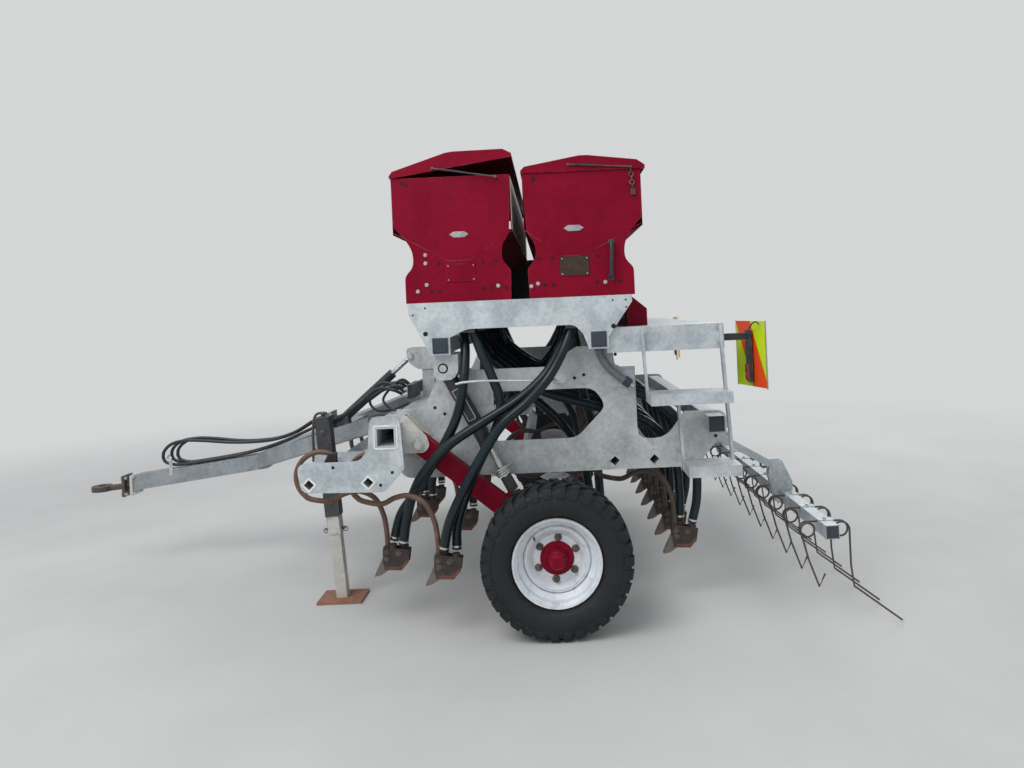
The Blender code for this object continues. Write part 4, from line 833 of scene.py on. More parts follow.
@dataclass
class Wheel(Assembly):
    """Traction tyre, painted rim with six studs and crimson hub, one on each side."""

    radius: float = 0.375
    half_width: float = 0.130
    seat: float = 0.207
    lugs: int = 34
    studs: int = 6
    stud_circle: float = 0.1025

    def build(self) -> None:
        """Make both wheels."""
        for side, sign in SIDES:
            self._tyre(side, sign)
            self._rim(side, sign)

    def _tyre(self, side: str, sign: float) -> None:
        """Carcass with shoulder and centre lugs.

        Args:
            side: name of the side.
            sign: +1 on the left, -1 on the right.
        """
        shape = Shape(f"tyre_{side}_tread")
        r, w, s = self.radius, self.half_width, self.seat
        half = [(s - 0.004, w * 0.50), (s + 0.010, w * 0.60), (s + 0.018, w * 0.70), (s + 0.030, w * 0.86),
                (s + 0.034, w * 0.90), (s + 0.040, w * 0.925), (s + 0.062, w * 0.985), (s + 0.085, w * 0.995),
                (s + 0.105, w * 0.985), (s + 0.112, w * 0.965), (r - 0.036, w * 0.955), (r - 0.022, w * 0.88),
                (r - 0.015, w * 0.76), (r - 0.013, w * 0.35)]
        profile = half + [(radius, -offset) for radius, offset in reversed(half)]
        centre = (0.0, sign * WHEEL_Y, AXLE_Z)
        shape.turned(profile, centre, steps=96)
        pitch = 2 * math.pi / self.lugs
        for index in range(self.lugs):
            for edge in (-1.0, 1.0):
                turn = (index + (0.5 if edge > 0 else 0.0)) * pitch
                self._lug(shape, centre, turn, pitch, edge)
        piece = self.finish(shape, f"wheel_{side}", "tyre_rubber", bevel=0.0015)
        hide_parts(f"tyre_{side}")

    def _lug(self, shape: Shape, centre: Point, turn: float, pitch: float, edge: float) -> None:
        """One tread lug from the middle over the shoulder.

        Args:
            shape: mesh to add to.
            centre: wheel centre.
            turn: angle of the lug.
            pitch: angle between lugs.
            edge: +1 or -1, the shoulder that it runs to.
        """
        r, w = self.radius, self.half_width
        # angle offset, half angle, offset along the axle, outer radius, inner radius
        stations = [(-0.42, 0.26, 0.006, r, r - 0.016), (-0.10, 0.28, w * 0.34, r, r - 0.018),
                    (0.05, 0.33, w * 0.66, r - 0.001, r - 0.020), (0.05, 0.34, w * 0.90, r - 0.008, r - 0.026),
                    (0.05, 0.34, w * 0.985, r - 0.030, r - 0.040), (0.05, 0.30, w * 1.0, r - 0.055, r - 0.056)]
        points = []
        for lead, half, offset, outer, inner in stations:
            for radius, turn_side in ((outer, -1), (outer, 1), (inner, 1), (inner, -1)):
                t = turn + (lead + half * turn_side) * pitch
                y = min(offset, w * 0.955) if radius == inner and offset > w * 0.9 else offset
                points.append(Vector((centre[0] + radius * math.sin(t), centre[1] + edge * y,
                                      centre[2] + radius * math.cos(t))))
        faces: list[tuple[int, ...]] = [(0, 1, 2, 3), (20, 23, 22, 21)]
        for k in range(5):
            faces += [(4 * k + i, 4 * k + 4 + i, 4 * k + 4 + (i + 1) % 4, 4 * k + (i + 1) % 4) for i in range(4)]
        shape.add(points, faces)

    def _rim(self, side: str, sign: float) -> None:
        """Rim, disc, studs and hub.

        Args:
            side: name of the side.
            sign: +1 on the left, -1 on the right.
        """
        shape = Shape(f"rim_{side}_wheel")
        s, w = self.seat, self.half_width
        centre = (0.0, sign * WHEEL_Y, AXLE_Z)
        out = sign
        band = [(s + 0.014, 0.72), (s + 0.009, 0.66), (s - 0.006, 0.58), (s - 0.006, 0.30), (s - 0.032, 0.17)]
        inside = [(s - 0.038, 0.20), (s - 0.012, 0.33), (s - 0.012, 0.62), (s - 0.002, 0.70), (s + 0.003, 0.76),
                  (s + 0.011, 0.78)]
        section = [(radius, -share * w) for radius, share in band]
        section += [(radius, share * w) for radius, share in reversed(band)]
        section += [(radius, share * w) for radius, share in reversed(inside)]
        section += [(radius, -share * w) for radius, share in inside]
        shape.turned(section, centre, steps=96)
        disc = [(s - 0.036, out * 0.014), (s - 0.046, out * 0.030), (s - 0.060, out * 0.034), (0.130, out * 0.018),
                (0.118, out * 0.006), (0.080, out * 0.004), (0.078, -out * 0.004), (0.120, -out * 0.002),
                (0.134, out * 0.010), (s - 0.062, out * 0.026), (s - 0.048, out * 0.022), (s - 0.040, out * 0.006)]
        shape.turned(disc, centre, steps=96)
        for index in range(self.studs):
            t = 2 * math.pi * index / self.studs - 0.085
            place = (self.stud_circle * math.sin(t), centre[1] + out * 0.005, AXLE_Z + self.stud_circle * math.cos(t))
            shape.turned([(0.0, 0.0), (0.0190, 0.0), (0.0190, out * 0.003), (0.014, out * 0.009), (0.0, out * 0.009)],
                         place, steps=20, slot=1)
            shape.rod(place, (place[0], place[1] + out * 0.018, place[2]), 0.0125, 6, 1)
            shape.rod(place, (place[0], place[1] + out * 0.030, place[2]), 0.0075, 10, 1)
        for radius, offset, thick in ((s - 0.0405, 0.016, 0.0028), (s + 0.0125, 0.0905, 0.0016)):
            ring = [(radius + thick * math.cos(a), out * (offset + thick * math.sin(a)))
                    for a in (math.pi / 3 * k for k in range(6))]
            shape.turned(ring, centre, steps=72, slot=4)
        hub = [(0.0285, -out * 0.120), (0.060, -out * 0.120), (0.060, -out * 0.004), (0.084, -out * 0.004),
               (0.084, out * 0.008), (0.060, out * 0.012), (0.050, out * 0.030), (0.046, out * 0.056),
               (0.040, out * 0.060), (0.038, out * 0.078), (0.030, out * 0.086), (0.0, out * 0.088),
               (0.0, out * 0.060), (0.0285, out * 0.055)]
        shape.turned(hub, centre, steps=40, slot=2)
        for index in range(5):
            t = 2 * math.pi * index / 5
            place = (0.0, centre[1] + out * 0.057, AXLE_Z)
            shape.rod((place[0] + 0.043 * math.sin(t), place[1] - out * 0.006, place[2] + 0.043 * math.cos(t)),
                      (place[0] + 0.043 * math.sin(t), place[1] + out * 0.006, place[2] + 0.043 * math.cos(t)),
                      0.005, 6, 2)
        valve = (0.112, centre[1] + out * 0.020, AXLE_Z + 0.112)
        shape.rod(valve, (valve[0] - 0.006, valve[1] + out * 0.040, valve[2] - 0.006), 0.0045, 8, 3)
        piece = self.finish(shape, f"wheel_{side}", "rim_silver", "brown_steel", "crimson", "black_hose",
                            "rusty_plate")
        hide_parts(f"rim_{side}")


@dataclass
class TineRanks(Assembly):
    """Coil tines with their boots, on hollow bars that stand on edge."""

    bar_z: float = 0.790
    bar: float = 0.050
    wall: float = 0.006
    coil: float = 0.127
    wire: float = 0.0135
    shift: float = 0.038
    row: float = 1.0 / 6.0
    outward: tuple[int, ...] = (-7, 7)
    # node, x of the bar, half its length, rows that it carries
    ranks: tuple[tuple[str, float, float, tuple[int, ...]], ...] = (
        ("tine_rank_1", 1.201, 1.399, (-7, -1, 1, 7)), ("tine_rank_2", 0.910, 1.399, (-8, -3, 3, 8)),
        ("tine_rank_3", 0.150, 1.1137, (-5, 5)), ("tine_rank_4", -0.325, 1.128, (-6, -4, -2, 0, 2, 4, 6)))

    def build(self) -> None:
        """Make each rank as a bar, its wires and its openers."""
        for node, bar_x, reach, rows in self.ranks:
            shape = Shape(node + "_openers")
            self._bar(shape, bar_x, reach)
            for row in rows:
                side = -1.0 if (row < 0) != (row in self.outward) else 1.0
                self._tine(shape, bar_x, row * self.row, side)
            # painted highlight: lit zinc rims on the bar ends between the front plates
            if self._in_front(bar_x):
                for end in (-reach, reach):
                    self._bar_rim_highlight(shape, bar_x, end)
            piece = self.finish(shape, "root", "spring_steel", "opener", "worn_tip", "galvanised", "brown_steel",
                                "boot_rust", "lit_zinc")
            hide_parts(node)
        self.dress("galvanised", "rear_diamond_bar")

    def _bar(self, shape: Shape, bar_x: float, reach: float) -> None:
        """Hollow bar: four walls that meet at the corners."""
        outer = self.bar / math.sqrt(2)
        inner = outer - self.wall * math.sqrt(2)
        for k in range(4):
            a, b = math.pi / 2 * k, math.pi / 2 * (k + 1)
            outline = [(bar_x + r * math.cos(t), self.bar_z + r * math.sin(t))
                       for r, t in ((inner, a), (outer, a), (outer, b), (inner, b))]
            shape.prism(outline, -reach, reach, 3)

    @staticmethod
    def _in_front(bar_x: float) -> bool:
        """Whether a bar is one of the two between the front plates."""
        return bar_x > 0.5

    def _bar_rim_highlight(self, shape: Shape, bar_x: float, end: float) -> None:
        """Sawn edge around a bar's open end, in the lit zinc: a painted highlight along the rim."""
        outer, inner = self.bar / math.sqrt(2) + 0.003, self.bar / math.sqrt(2) - 0.010
        low, high = sorted((end * 0.9985, end * 1.0006))
        for k in range(4):
            a, b = math.pi / 2 * k, math.pi / 2 * (k + 1)
            outline = [(bar_x + r * math.cos(t), self.bar_z + r * math.sin(t))
                       for r, t in ((inner, a), (outer, a), (outer, b), (inner, b))]
            shape.prism(outline, low, high, 6)

    def _tine(self, shape: Shape, bar_x: float, y: float, side: float) -> None:
        """One tine: clamp, coil, shank and boot.

        Args:
            shape: mesh to add to.
            bar_x: place of the bar.
            y: place of the row.
            side: +1 where the coil leans to the right of the row, -1 mirrored.
        """
        z = self.bar_z
        offset = -side * self.shift
        knots = [(bar_x + self.coil * math.cos(t), y + offset, z + self.coil * math.sin(t))
                 for t in (math.radians(a) for a in range(128, -80, -16))]
        leg = [(-0.040, -0.130), (-0.110, -0.100), (-0.185, -0.090), (-0.262, -0.130), (-0.304, -0.215),
               (-0.318, -0.300), (-0.322, -0.400)]
        knots += [(bar_x + x, y + offset * max(0.0, 1 - (i + 1) / 4), z + dz) for i, (x, dz) in enumerate(leg)]
        shape.tube(smooth_path(knots, 0.016), self.wire, 14, 0 if self._in_front(bar_x) else 4)
        self._clamp(shape, bar_x, y + offset)
        self._boot(shape, bar_x, y, side)

    def _clamp(self, shape: Shape, bar_x: float, y: float) -> None:
        """Pressed clamp that holds the coil's end on the bar."""
        z = self.bar_z
        outline = [(bar_x - 0.084, z - 0.004), (bar_x - 0.040, z - 0.012), (bar_x - 0.022, z + 0.020),
                   (bar_x - 0.022, z + 0.070), (bar_x - 0.050, z + 0.119), (bar_x - 0.084, z + 0.119)]
        for edge in (-1, 1):
            shape.prism(outline, y + edge * 0.0205 - 0.0035, y + edge * 0.0205 + 0.0035, 1)
        shape.block((bar_x - 0.082, y - 0.018, z + 0.082), (bar_x - 0.060, y + 0.018, z + 0.118), 1)
        for dz in (0.030, 0.064):
            shape.rod((bar_x - 0.060, y - 0.0245, z + dz), (bar_x - 0.060, y + 0.0245, z + dz), 0.007, 6, 4)

    def _boot(self, shape: Shape, bar_x: float, y: float, side: float) -> None:
        """Opener boot: two cheeks, heel, hose sockets and a worn point."""
        z = self.bar_z

        def line(points: Sequence[Flat]) -> list[Flat]:
            """Shift boot points to the bar."""
            return [(bar_x + x, z + dz) for x, dz in points]

        cheek = line([(-0.300, -0.470), (-0.300, -0.400), (-0.304, -0.378), (-0.440, -0.402), (-0.430, -0.467),
                      (-0.394, -0.505), (-0.318, -0.500)])
        for edge in (-1, 1):
            shape.prism(cheek, y + edge * 0.026 - 0.003, y + edge * 0.026 + 0.003, 1)
            for dx, dz in ((-0.321, -0.408), (-0.323, -0.441), (-0.380, -0.416)):
                shape.bolt((bar_x + dx, y + edge * 0.029, z + dz), Axis.Y, edge, 0.0115, 4)
            strip = line([(-0.318, -0.500), (-0.394, -0.505), (-0.430, -0.467), (-0.424, -0.455), (-0.388, -0.486),
                          (-0.318, -0.482)])
            shape.prism(strip, y + edge * 0.029 - 0.0008, y + edge * 0.029 + 0.0008, 5)
        shape.prism(line([(-0.305, -0.380), (-0.335, -0.385), (-0.335, -0.500), (-0.305, -0.500)]),
                    y - 0.024, y + 0.024, 1)
        shape.prism(line([(-0.335, -0.468), (-0.428, -0.462), (-0.396, -0.503), (-0.335, -0.500)]),
                    y - 0.024, y + 0.024, 1)
        point = line([(-0.296, -0.440), (-0.310, -0.445), (-0.322, -0.506), (-0.284, -0.529), (-0.250, -0.535),
                      (-0.262, -0.506)])
        shape.prism(point, y - 0.020, y + 0.020, 2)
        for step, (dx, dz) in enumerate(((-0.350, -0.386), (-0.408, -0.396))):
            offset = 0.027 if (step == 1) else -0.027
            top = (bar_x + dx, y + offset * side * 0.4, z + dz + 0.016)
            shape.rod((top[0], top[1], top[2] - 0.030), top, 0.021, 14, 1)


@dataclass
class SeedHoses(Assembly):
    """Metering housings and the ribbed seed hoses to every row."""

    radius: float = 0.0250
    rib: float = 0.0085
    bottom: float = 1.500
    outlet: float = 1.825
    bar_z: float = 0.790
    row: float = 1.0 / 6.0
    step: float = 0.027
    housings: tuple[tuple[str, float, float], ...] = (("front", 0.360, 0.500), ("rear", -0.215, -0.080))
    bars: tuple[float, ...] = (1.201, 0.910, 0.150, -0.325)
    rows: tuple[tuple[int, ...], ...] = ((-7, -1, 1, 7), (-8, -3, 3, 8), (-5, 5), (-6, -4, -2, 0, 2, 4, 6))
    sockets: tuple[Flat, ...] = ((-0.350, -0.366), (-0.408, -0.376))

    def build(self) -> None:
        """Make each housing with its hoses."""
        for side, low, high in self.housings:
            shape = Shape(f"seed_hoses_{side}_run")
            self._housing(shape, low, high)
            for rank, rows in enumerate(self.rows):
                for row in rows:
                    self._hose(shape, side, rank, row)
            piece = self.finish(shape, "root", "seed_hose", "dark_sheet", "plated")
            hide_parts(f"seed_hoses_{side}")

    def _housing(self, shape: Shape, low: float, high: float) -> None:
        """Folded housing with a row of gates on its front and rear faces."""
        shape.block((low, -1.255, self.bottom + 0.02), (high, 1.255, self.outlet - 0.0003), 1)
        shape.block((low + 0.012, -1.250, self.bottom), (high - 0.012, 1.250, self.bottom + 0.03), 1)
        for index in range(17):
            y = (index - 8) * 0.148
            for x in (low, high):
                shape.block((x - 0.004, y - 0.045, 1.58), (x + 0.004, y + 0.045, 1.72), 1)
                shape.rod((x - 0.008, y, 1.65), (x + 0.008, y, 1.65), 0.008, 8, 2)

    def route(self, side: str, rank: int, row: int) -> list[Point]:
        """Points of one hose, from the housing to its socket."""
        socket = self.sockets[0] if (side == "front") == (rank in (0, 2, 3)) else self.sockets[1]
        shift = self.step if side == "rear" else -self.step
        direction = -1.0 if row < 0 else 1.0
        end_y = abs(row) * self.row + shift
        if abs(row) > 6:
            points = list(OUTER_ROUTES[side, rank])
        else:
            points = [(x, end_y, z) for x, z in INNER_ROUTES[side, rank]]
        points.append((self.bars[rank] + socket[0], end_y, self.bar_z + socket[1] + 0.006))
        return [(x, direction * y, z) for x, y, z in points]

    def _hose(self, shape: Shape, side: str, rank: int, row: int) -> None:
        """Corrugated hose with a clip at its lower end."""
        path = smooth_path(self.route(side, rank, row), self.rib / 2)
        near = abs(row) > 6 and row > 0
        radii = [self.radius - (0.0011 if i % 2 else 0.0) for i in range(len(path))]
        shape.tube(path, radii, 16 if near else 10, 0)
        clip = path[-6]
        ahead = (path[-1] - path[-6]).normalized()
        shape.tube([clip, clip + ahead * 0.010], self.radius + 0.0008, 16, 2)


@dataclass
class Harrow(Assembly):
    """Hinged arms and a hollow rail, with a coil tine ahead of it and one behind at each place."""

    rail: float = 0.065
    middle: Flat = (-1.319, 0.480)
    hinge: Flat = (-0.911, 0.856)
    wire: float = 0.005
    arm_y: float = 0.750
    first: float = -1.424
    spacing: float = 0.256
    count: int = 12
    # middle of the coil, its radius, +1 behind the rail or -1 ahead of it, leg points
    rows: tuple[tuple[Flat, float, int, tuple[Flat, ...]], ...] = (
        ((-1.392, 0.470), 0.036, 1, ((-1.428, 0.300), (-1.440, 0.192), (-1.6668, 0.0172))),
        ((-1.226, 0.470), 0.036, -1, ((-1.222, 0.335), (-1.270, 0.197), (-1.300, 0.258))))

    def build(self) -> None:
        """Make the frame and the tines."""
        shape = Shape("harrow_frame")
        (bx, bz), half = self.middle, self.rail / 2
        for k, (dx, dz) in enumerate(((half - 0.002, 0), (-half + 0.002, 0), (0, half - 0.002), (0, -half + 0.002))):
            wide = (0.002, half) if k < 2 else (half, 0.002)
            shape.block((bx + dx - wide[0], -1.498, bz + dz - wide[1]), (bx + dx + wide[0], 1.498, bz + dz + wide[1]))
        for side in (-1, 1):
            self._arm(shape, side * self.arm_y)
            shape.block((bx - half + 0.003, side * 1.494 - 0.005, bz - half + 0.003),
                        (bx + half - 0.003, side * 1.494 + 0.005, bz + half - 0.003), 3)
        for index in range(self.count):
            y = self.first + index * self.spacing
            self._clamp(shape, y)
            for coil, radius, way, leg in self.rows:
                self._tine(shape, y, coil, radius, way, leg)
        piece = self.finish(shape, "harrow", "galvanised", "tine_wire", "plated", "cap_plastic", bevel=0.0012)
        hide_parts("harrow")

    def _arm(self, shape: Shape, y: float) -> None:
        """Pressed arm from the hinge down to the cheeks around the rail."""
        hx, hz = self.hinge
        run = Vector((-1.275 - hx, 0.0, 0.640 - hz))
        turn = Matrix.Translation((hx, y, hz)) @ Matrix.Rotation(math.atan2(-run.z, run.x), 4, "Y")
        shape.block((0.010, -0.020, -0.020), (run.length, 0.020, 0.020), 0, turn)
        shape.rod((hx, y - 0.020, hz), (hx, y + 0.020, hz), 0.024, 20)
        cheek = [(-1.240, 0.680), (-1.226, 0.600), (-1.270, 0.436), (-1.362, 0.436), (-1.362, 0.560), (-1.308, 0.680)]
        for edge in (-1, 1):
            shape.prism(cheek, y + edge * 0.0235 - 0.0025, y + edge * 0.0235 + 0.0025)
            for x, z in ((-1.256, 0.655), (-1.285, 0.612), (-1.262, 0.570), (-1.335, 0.556)):
                shape.bolt((x, y + edge * 0.026, z), Axis.Y, edge, 0.011, 2)

    def _clamp(self, shape: Shape, y: float) -> None:
        """Folded clamp over the rail's top that holds a pair of tines."""
        (bx, bz), half = self.middle, self.rail / 2
        top = bz + half
        shape.block((bx - half - 0.004, y - 0.022, top - 0.018), (bx + half + 0.004, y + 0.022, top + 0.004))
        shape.bolt((bx, y, top + 0.004), Axis.Z, 1.0, 0.008, 2)

    def _tine(self, shape: Shape, y: float, coil: Flat, radius: float, way: int, leg: Sequence[Flat]) -> None:
        """Wire from the clamp over the coil's top, one and a quarter turns, then the bent leg.

        Args:
            shape: mesh to add to.
            y: side place of the clamp.
            coil: middle of the coil.
            radius: radius of the coil.
            way: +1 behind the rail, -1 ahead of it.
            leg: points of the leg below the coil.
        """
        x, z = coil
        turns, pitch = 30, 0.032
        knots = [Vector((self.middle[0] - way * (self.rail / 2 - 0.012), y, z + radius))]
        for step in range(turns + 1):
            t = math.radians(90.0 + way * 450.0 * step / turns)
            knots.append(Vector((x + radius * math.cos(t), y + pitch * step / turns, z + radius * math.sin(t))))
        knots += [Vector((px, y + pitch, pz)) for px, pz in leg]
        shape.tube(knots, self.wire, 8, 1)


class Hole(Enum):
    """What fills a drilled hole of a hopper end."""

    OPEN = 0
    BOLT = 1


# x, z and filling of the holes in each hopper end
HOPPER_HOLES: dict[str, list[tuple[float, float, Hole]]] = {
    "front": [(0.602, 1.902, Hole.BOLT), (0.603, 1.860, Hole.BOLT), (0.538, 1.857, Hole.OPEN),
              (0.313, 1.857, Hole.OPEN), (0.247, 1.858, Hole.OPEN), (0.647, 1.719, Hole.BOLT),
              (0.601, 1.751, Hole.BOLT), (0.576, 1.716, Hole.OPEN), (0.535, 1.718, Hole.OPEN),
              (0.314, 1.724, Hole.OPEN), (0.276, 1.724, Hole.OPEN), (0.239, 1.732, Hole.BOLT),
              (0.200, 1.721, Hole.OPEN), (0.708, 2.270, Hole.OPEN), (0.687, 2.260, Hole.OPEN)],
    "rear": [(0.029, 1.862, Hole.OPEN), (-0.039, 1.861, Hole.OPEN), (-0.267, 1.864, Hole.OPEN),
             (0.072, 1.722, Hole.BOLT), (0.038, 1.734, Hole.BOLT), (0.004, 1.724, Hole.OPEN),
             (-0.040, 1.724, Hole.OPEN), (-0.263, 1.729, Hole.OPEN), (-0.303, 1.728, Hole.BOLT),
             (-0.376, 1.730, Hole.OPEN), (0.040, 2.270, Hole.OPEN), (0.041, 2.253, Hole.OPEN)],
}
# low x, high x, z of the long slot's cover
HOPPER_SLOTS: dict[str, tuple[float, float, float]] = {"front": (0.378, 0.477, 2.000), "rear": (-0.206, -0.103, 2.008)}
# low x, high x, low z, high z of the blank plate
HOPPER_PLATES: dict[str, tuple[float, float, float, float]] = {
    "front": (0.351, 0.499, 1.761, 1.852), "rear": (-0.224, -0.078, 1.767, 1.864)}
# body, x and z of the front eye, x and z of the rear eye
LID_STAYS: tuple[tuple[str, Flat, Flat], ...] = (
    ("front_lid", (0.547, 2.337), (0.2305, 2.283)), ("rear_lid", (-0.139, 2.328), (-0.455, 2.304)))


@dataclass
class Hoppers(Assembly):
    """Paintwork and small fittings of the two hoppers and their lids."""

    face: float = 1.276
    # name, front wall, rear wall, middle of the outlet
    bodies: tuple[tuple[str, float, float, float], ...] = (
        ("front", 0.763, 0.160, 0.430), ("rear", 0.098, -0.505, -0.147))

    def build(self) -> None:
        """Dress the sheet metal and add fittings to both ends."""
        for name, front, rear, outlet in self.bodies:
            # the troughs get the darker crimson: painted shade
            self.dress("shaded_trough_crimson", f"hopper_trough_{name}")
            self.dress("crimson", f"hopper_end_{name}_left", f"hopper_end_{name}_right")
            for side, sign in SIDES:
                self._end(name, side, sign, front, rear, outlet)
        self.dress("crimson", "front_lid", "rear_lid", "hopper_apron")
        for lid, start, end in LID_STAYS:
            for side, sign in SIDES:
                self._lid_fittings(lid, start, end, side, sign)
        self._perforated_panel()
        self._gap_shade_and_cheeks()

    def _end(self, name: str, side: str, sign: float, front: float, rear: float, outlet: float) -> None:
        """Folds, drilled holes, plates and bolts of one end plate."""
        shape = Shape(f"hopper_end_{name}_{side}_fittings")
        y = self.face * sign
        def layer(low: float, high: float) -> tuple[float, float]:
            """Thin layer outside the end plate."""
            return tuple(sorted((y + sign * low, y + sign * high)))
        high_front, high_rear = (2.020, 2.006) if name == "front" else (2.006, 2.020)
        folds = [((front - 0.004, high_front), (outlet + 0.055, 1.868)),
                 ((outlet + 0.055, 1.868), (outlet - 0.055, 1.868)),
                 ((outlet - 0.055, 1.868), (rear + 0.006, high_rear))]
        for (x0, z0), (x1, z1) in folds:
            run = Vector((x1 - x0, 0.0, z1 - z0))
            across = Vector((-run.z, 0.0, run.x)).normalized() * 0.0022
            outline = [(x0 + across.x, z0 + across.z), (x1 + across.x, z1 + across.z),
                       (x1 - across.x, z1 - across.z), (x0 - across.x, z0 - across.z)]
            shape.prism(outline, *layer(-0.001, 0.0012), 0)
        for x, z, kind in HOPPER_HOLES[name]:
            if kind is Hole.BOLT:
                shape.bolt((x, y, z), Axis.Y, sign, 0.0075, 2)
                continue
            # open hole: a ring of the darker crimson and a black disc, painted shade at the hole's edge and inside it
            shape.rod((x, y - sign * 0.002, z), (x, y + sign * 0.0009, z), 0.0095, 18, 3)
            shape.rod((x, y - sign * 0.002, z), (x, y + sign * 0.0016, z), 0.0055, 14, 1)
        x0, x1, z = HOPPER_SLOTS[name]
        lozenge = [(x0, z), (x0 + 0.022, z - 0.015), (x1 - 0.022, z - 0.015), (x1, z), (x1 - 0.022, z + 0.015),
                   (x0 + 0.022, z + 0.015)]
        shape.prism(lozenge, *layer(-0.001, 0.003), 4)
        for x in (x0 + 0.014, x1 - 0.014):
            shape.rod((x, y, z), (x, y + sign * 0.005, z), 0.0045, 10, 2)
        x0, x1, z0, z1 = HOPPER_PLATES[name]
        slot = 5 if name == "rear" else 0
        shape.prism([(x0, z0), (x1, z0), (x1, z1), (x0, z1)], *layer(-0.001, 0.004), slot)
        for x in (x0 + 0.010, x1 - 0.010):
            for z in (z0 + 0.010, z1 - 0.010):
                shape.rod((x, y, z), (x, y + sign * 0.006, z), 0.0035, 8, 2)
        if name == "rear":
            grip = [(-0.333, y, 1.752), (-0.333, y + sign * 0.020, 1.756), (-0.334, y + sign * 0.026, 1.775),
                    (-0.340, y + sign * 0.026, 1.902), (-0.341, y + sign * 0.020, 1.922), (-0.341, y, 1.926)]
            shape.tube(smooth_path(grip, 0.006), 0.0105, 12, 6)
            for x, z in ((-0.333, 1.752), (-0.341, 1.926)):
                shape.rod((x, y - sign * 0.001, z), (x, y + sign * 0.004, z), 0.017, 14, 6)
        self.finish(shape, "root", "crimson", "bare_hole", "plated", "shaded_crimson", "label_plate", "brown_plate",
                    "black_paint", bevel=0.0006)

    def _lid_fittings(self, lid: str, start: Flat, end: Flat, side: str, sign: float) -> None:
        """Gas stay and catch chain of one lid end.

        Args:
            lid: body of the lid.
            start: x and z of the stay's front eye.
            end: x and z of its rear eye.
            side: name of the side.
            sign: +1 on the left, -1 on the right.
        """
        shape = Shape(f"{lid}_{side}_stay")
        y = sign * 1.2855
        front = Vector((start[0], y + sign * 0.006, start[1]))
        back = Vector((end[0], y + sign * 0.006, end[1]))
        shape.tube([front, front.lerp(back, 0.10)], 0.0036, 10, 1)
        shape.tube([front.lerp(back, 0.10), front.lerp(back, 0.46)], 0.0058, 12, 0)
        shape.tube([front.lerp(back, 0.46), back], 0.0036, 10, 1)
        for place in (front, back):
            shape.rod(place - Vector((0.0, sign * 0.008, 0.0)), place + Vector((0.0, sign * 0.005, 0.0)), 0.0070, 12, 1)
        if lid == "rear_lid":
            for link in range(5):
                shape.turned([(0.0085, 0.0), (0.0112, 0.0027), (0.0139, 0.0), (0.0112, -0.0027)],
                             (-0.454 - link * 0.0015, y, 2.286 - link * 0.0200), Axis.Y if link % 2 else Axis.X, 16, 1)
            shape.block((-0.474, y - 0.003, 2.164), (-0.450, y + 0.005, 2.192), 1)
        self.finish(shape, lid, "black_paint", "brown_steel")

    def _perforated_panel(self) -> None:
        """Galvanised rear wall sheet of the front hopper in the lit zinc, painted light, with rows of holes drawn as
        black discs of painted shade.
        """
        shape = Shape("front_hopper_rear_panel")
        x = 0.160
        shape.block((x - 0.003, -1.262, 2.018), (x - 0.0004, 1.262, 2.286), 0)
        for row in range(3):
            for k in range(13):
                y = -1.230 + k * 0.200 + (0.100 if row % 2 else 0.0)
                z = 2.070 + row * 0.075
                if y < 1.25:
                    shape.rod((x - 0.0034, y, z), (x - 0.002, y, z), 0.0125, 12, 1)
        # the lit zinc is painted light on the sheet; the black discs are painted shade inside the holes
        self.finish(shape, "root", "lit_zinc", "bare_hole")

    def _gap_shade_and_cheeks(self) -> None:
        """Dark sheet between the two hoppers' troughs at the right-hand end, painted shade for the deep shadow between
        them, and the apron's cheeks.
        """
        # painted shade: a near-black sheet where only the shadow between the hoppers is
        shape = Shape("hopper_gap_shade_sheet")
        outline = [(0.100, 2.020), (0.156, 2.020), (0.355, 1.880), (0.378, 1.862), (0.378, CRADLE_TOP),
                   (-0.094, CRADLE_TOP), (-0.094, 1.862), (-0.075, 1.880)]
        shape.prism(outline, -1.192, -1.188, 0)
        self.finish(shape, "root", "dark_sheet")
        cheeks = Shape("apron_cheeks")
        outline = [(-0.425, 1.657), (-0.455, 1.650), (-0.530, 1.585), (-0.530, 1.498), (-0.425, 1.498)]
        for _, sign in SIDES:
            cheeks.prism(outline, *sorted((sign * 1.0965, sign * 1.0998)), 0)
        self.finish(cheeks, "root", "crimson")


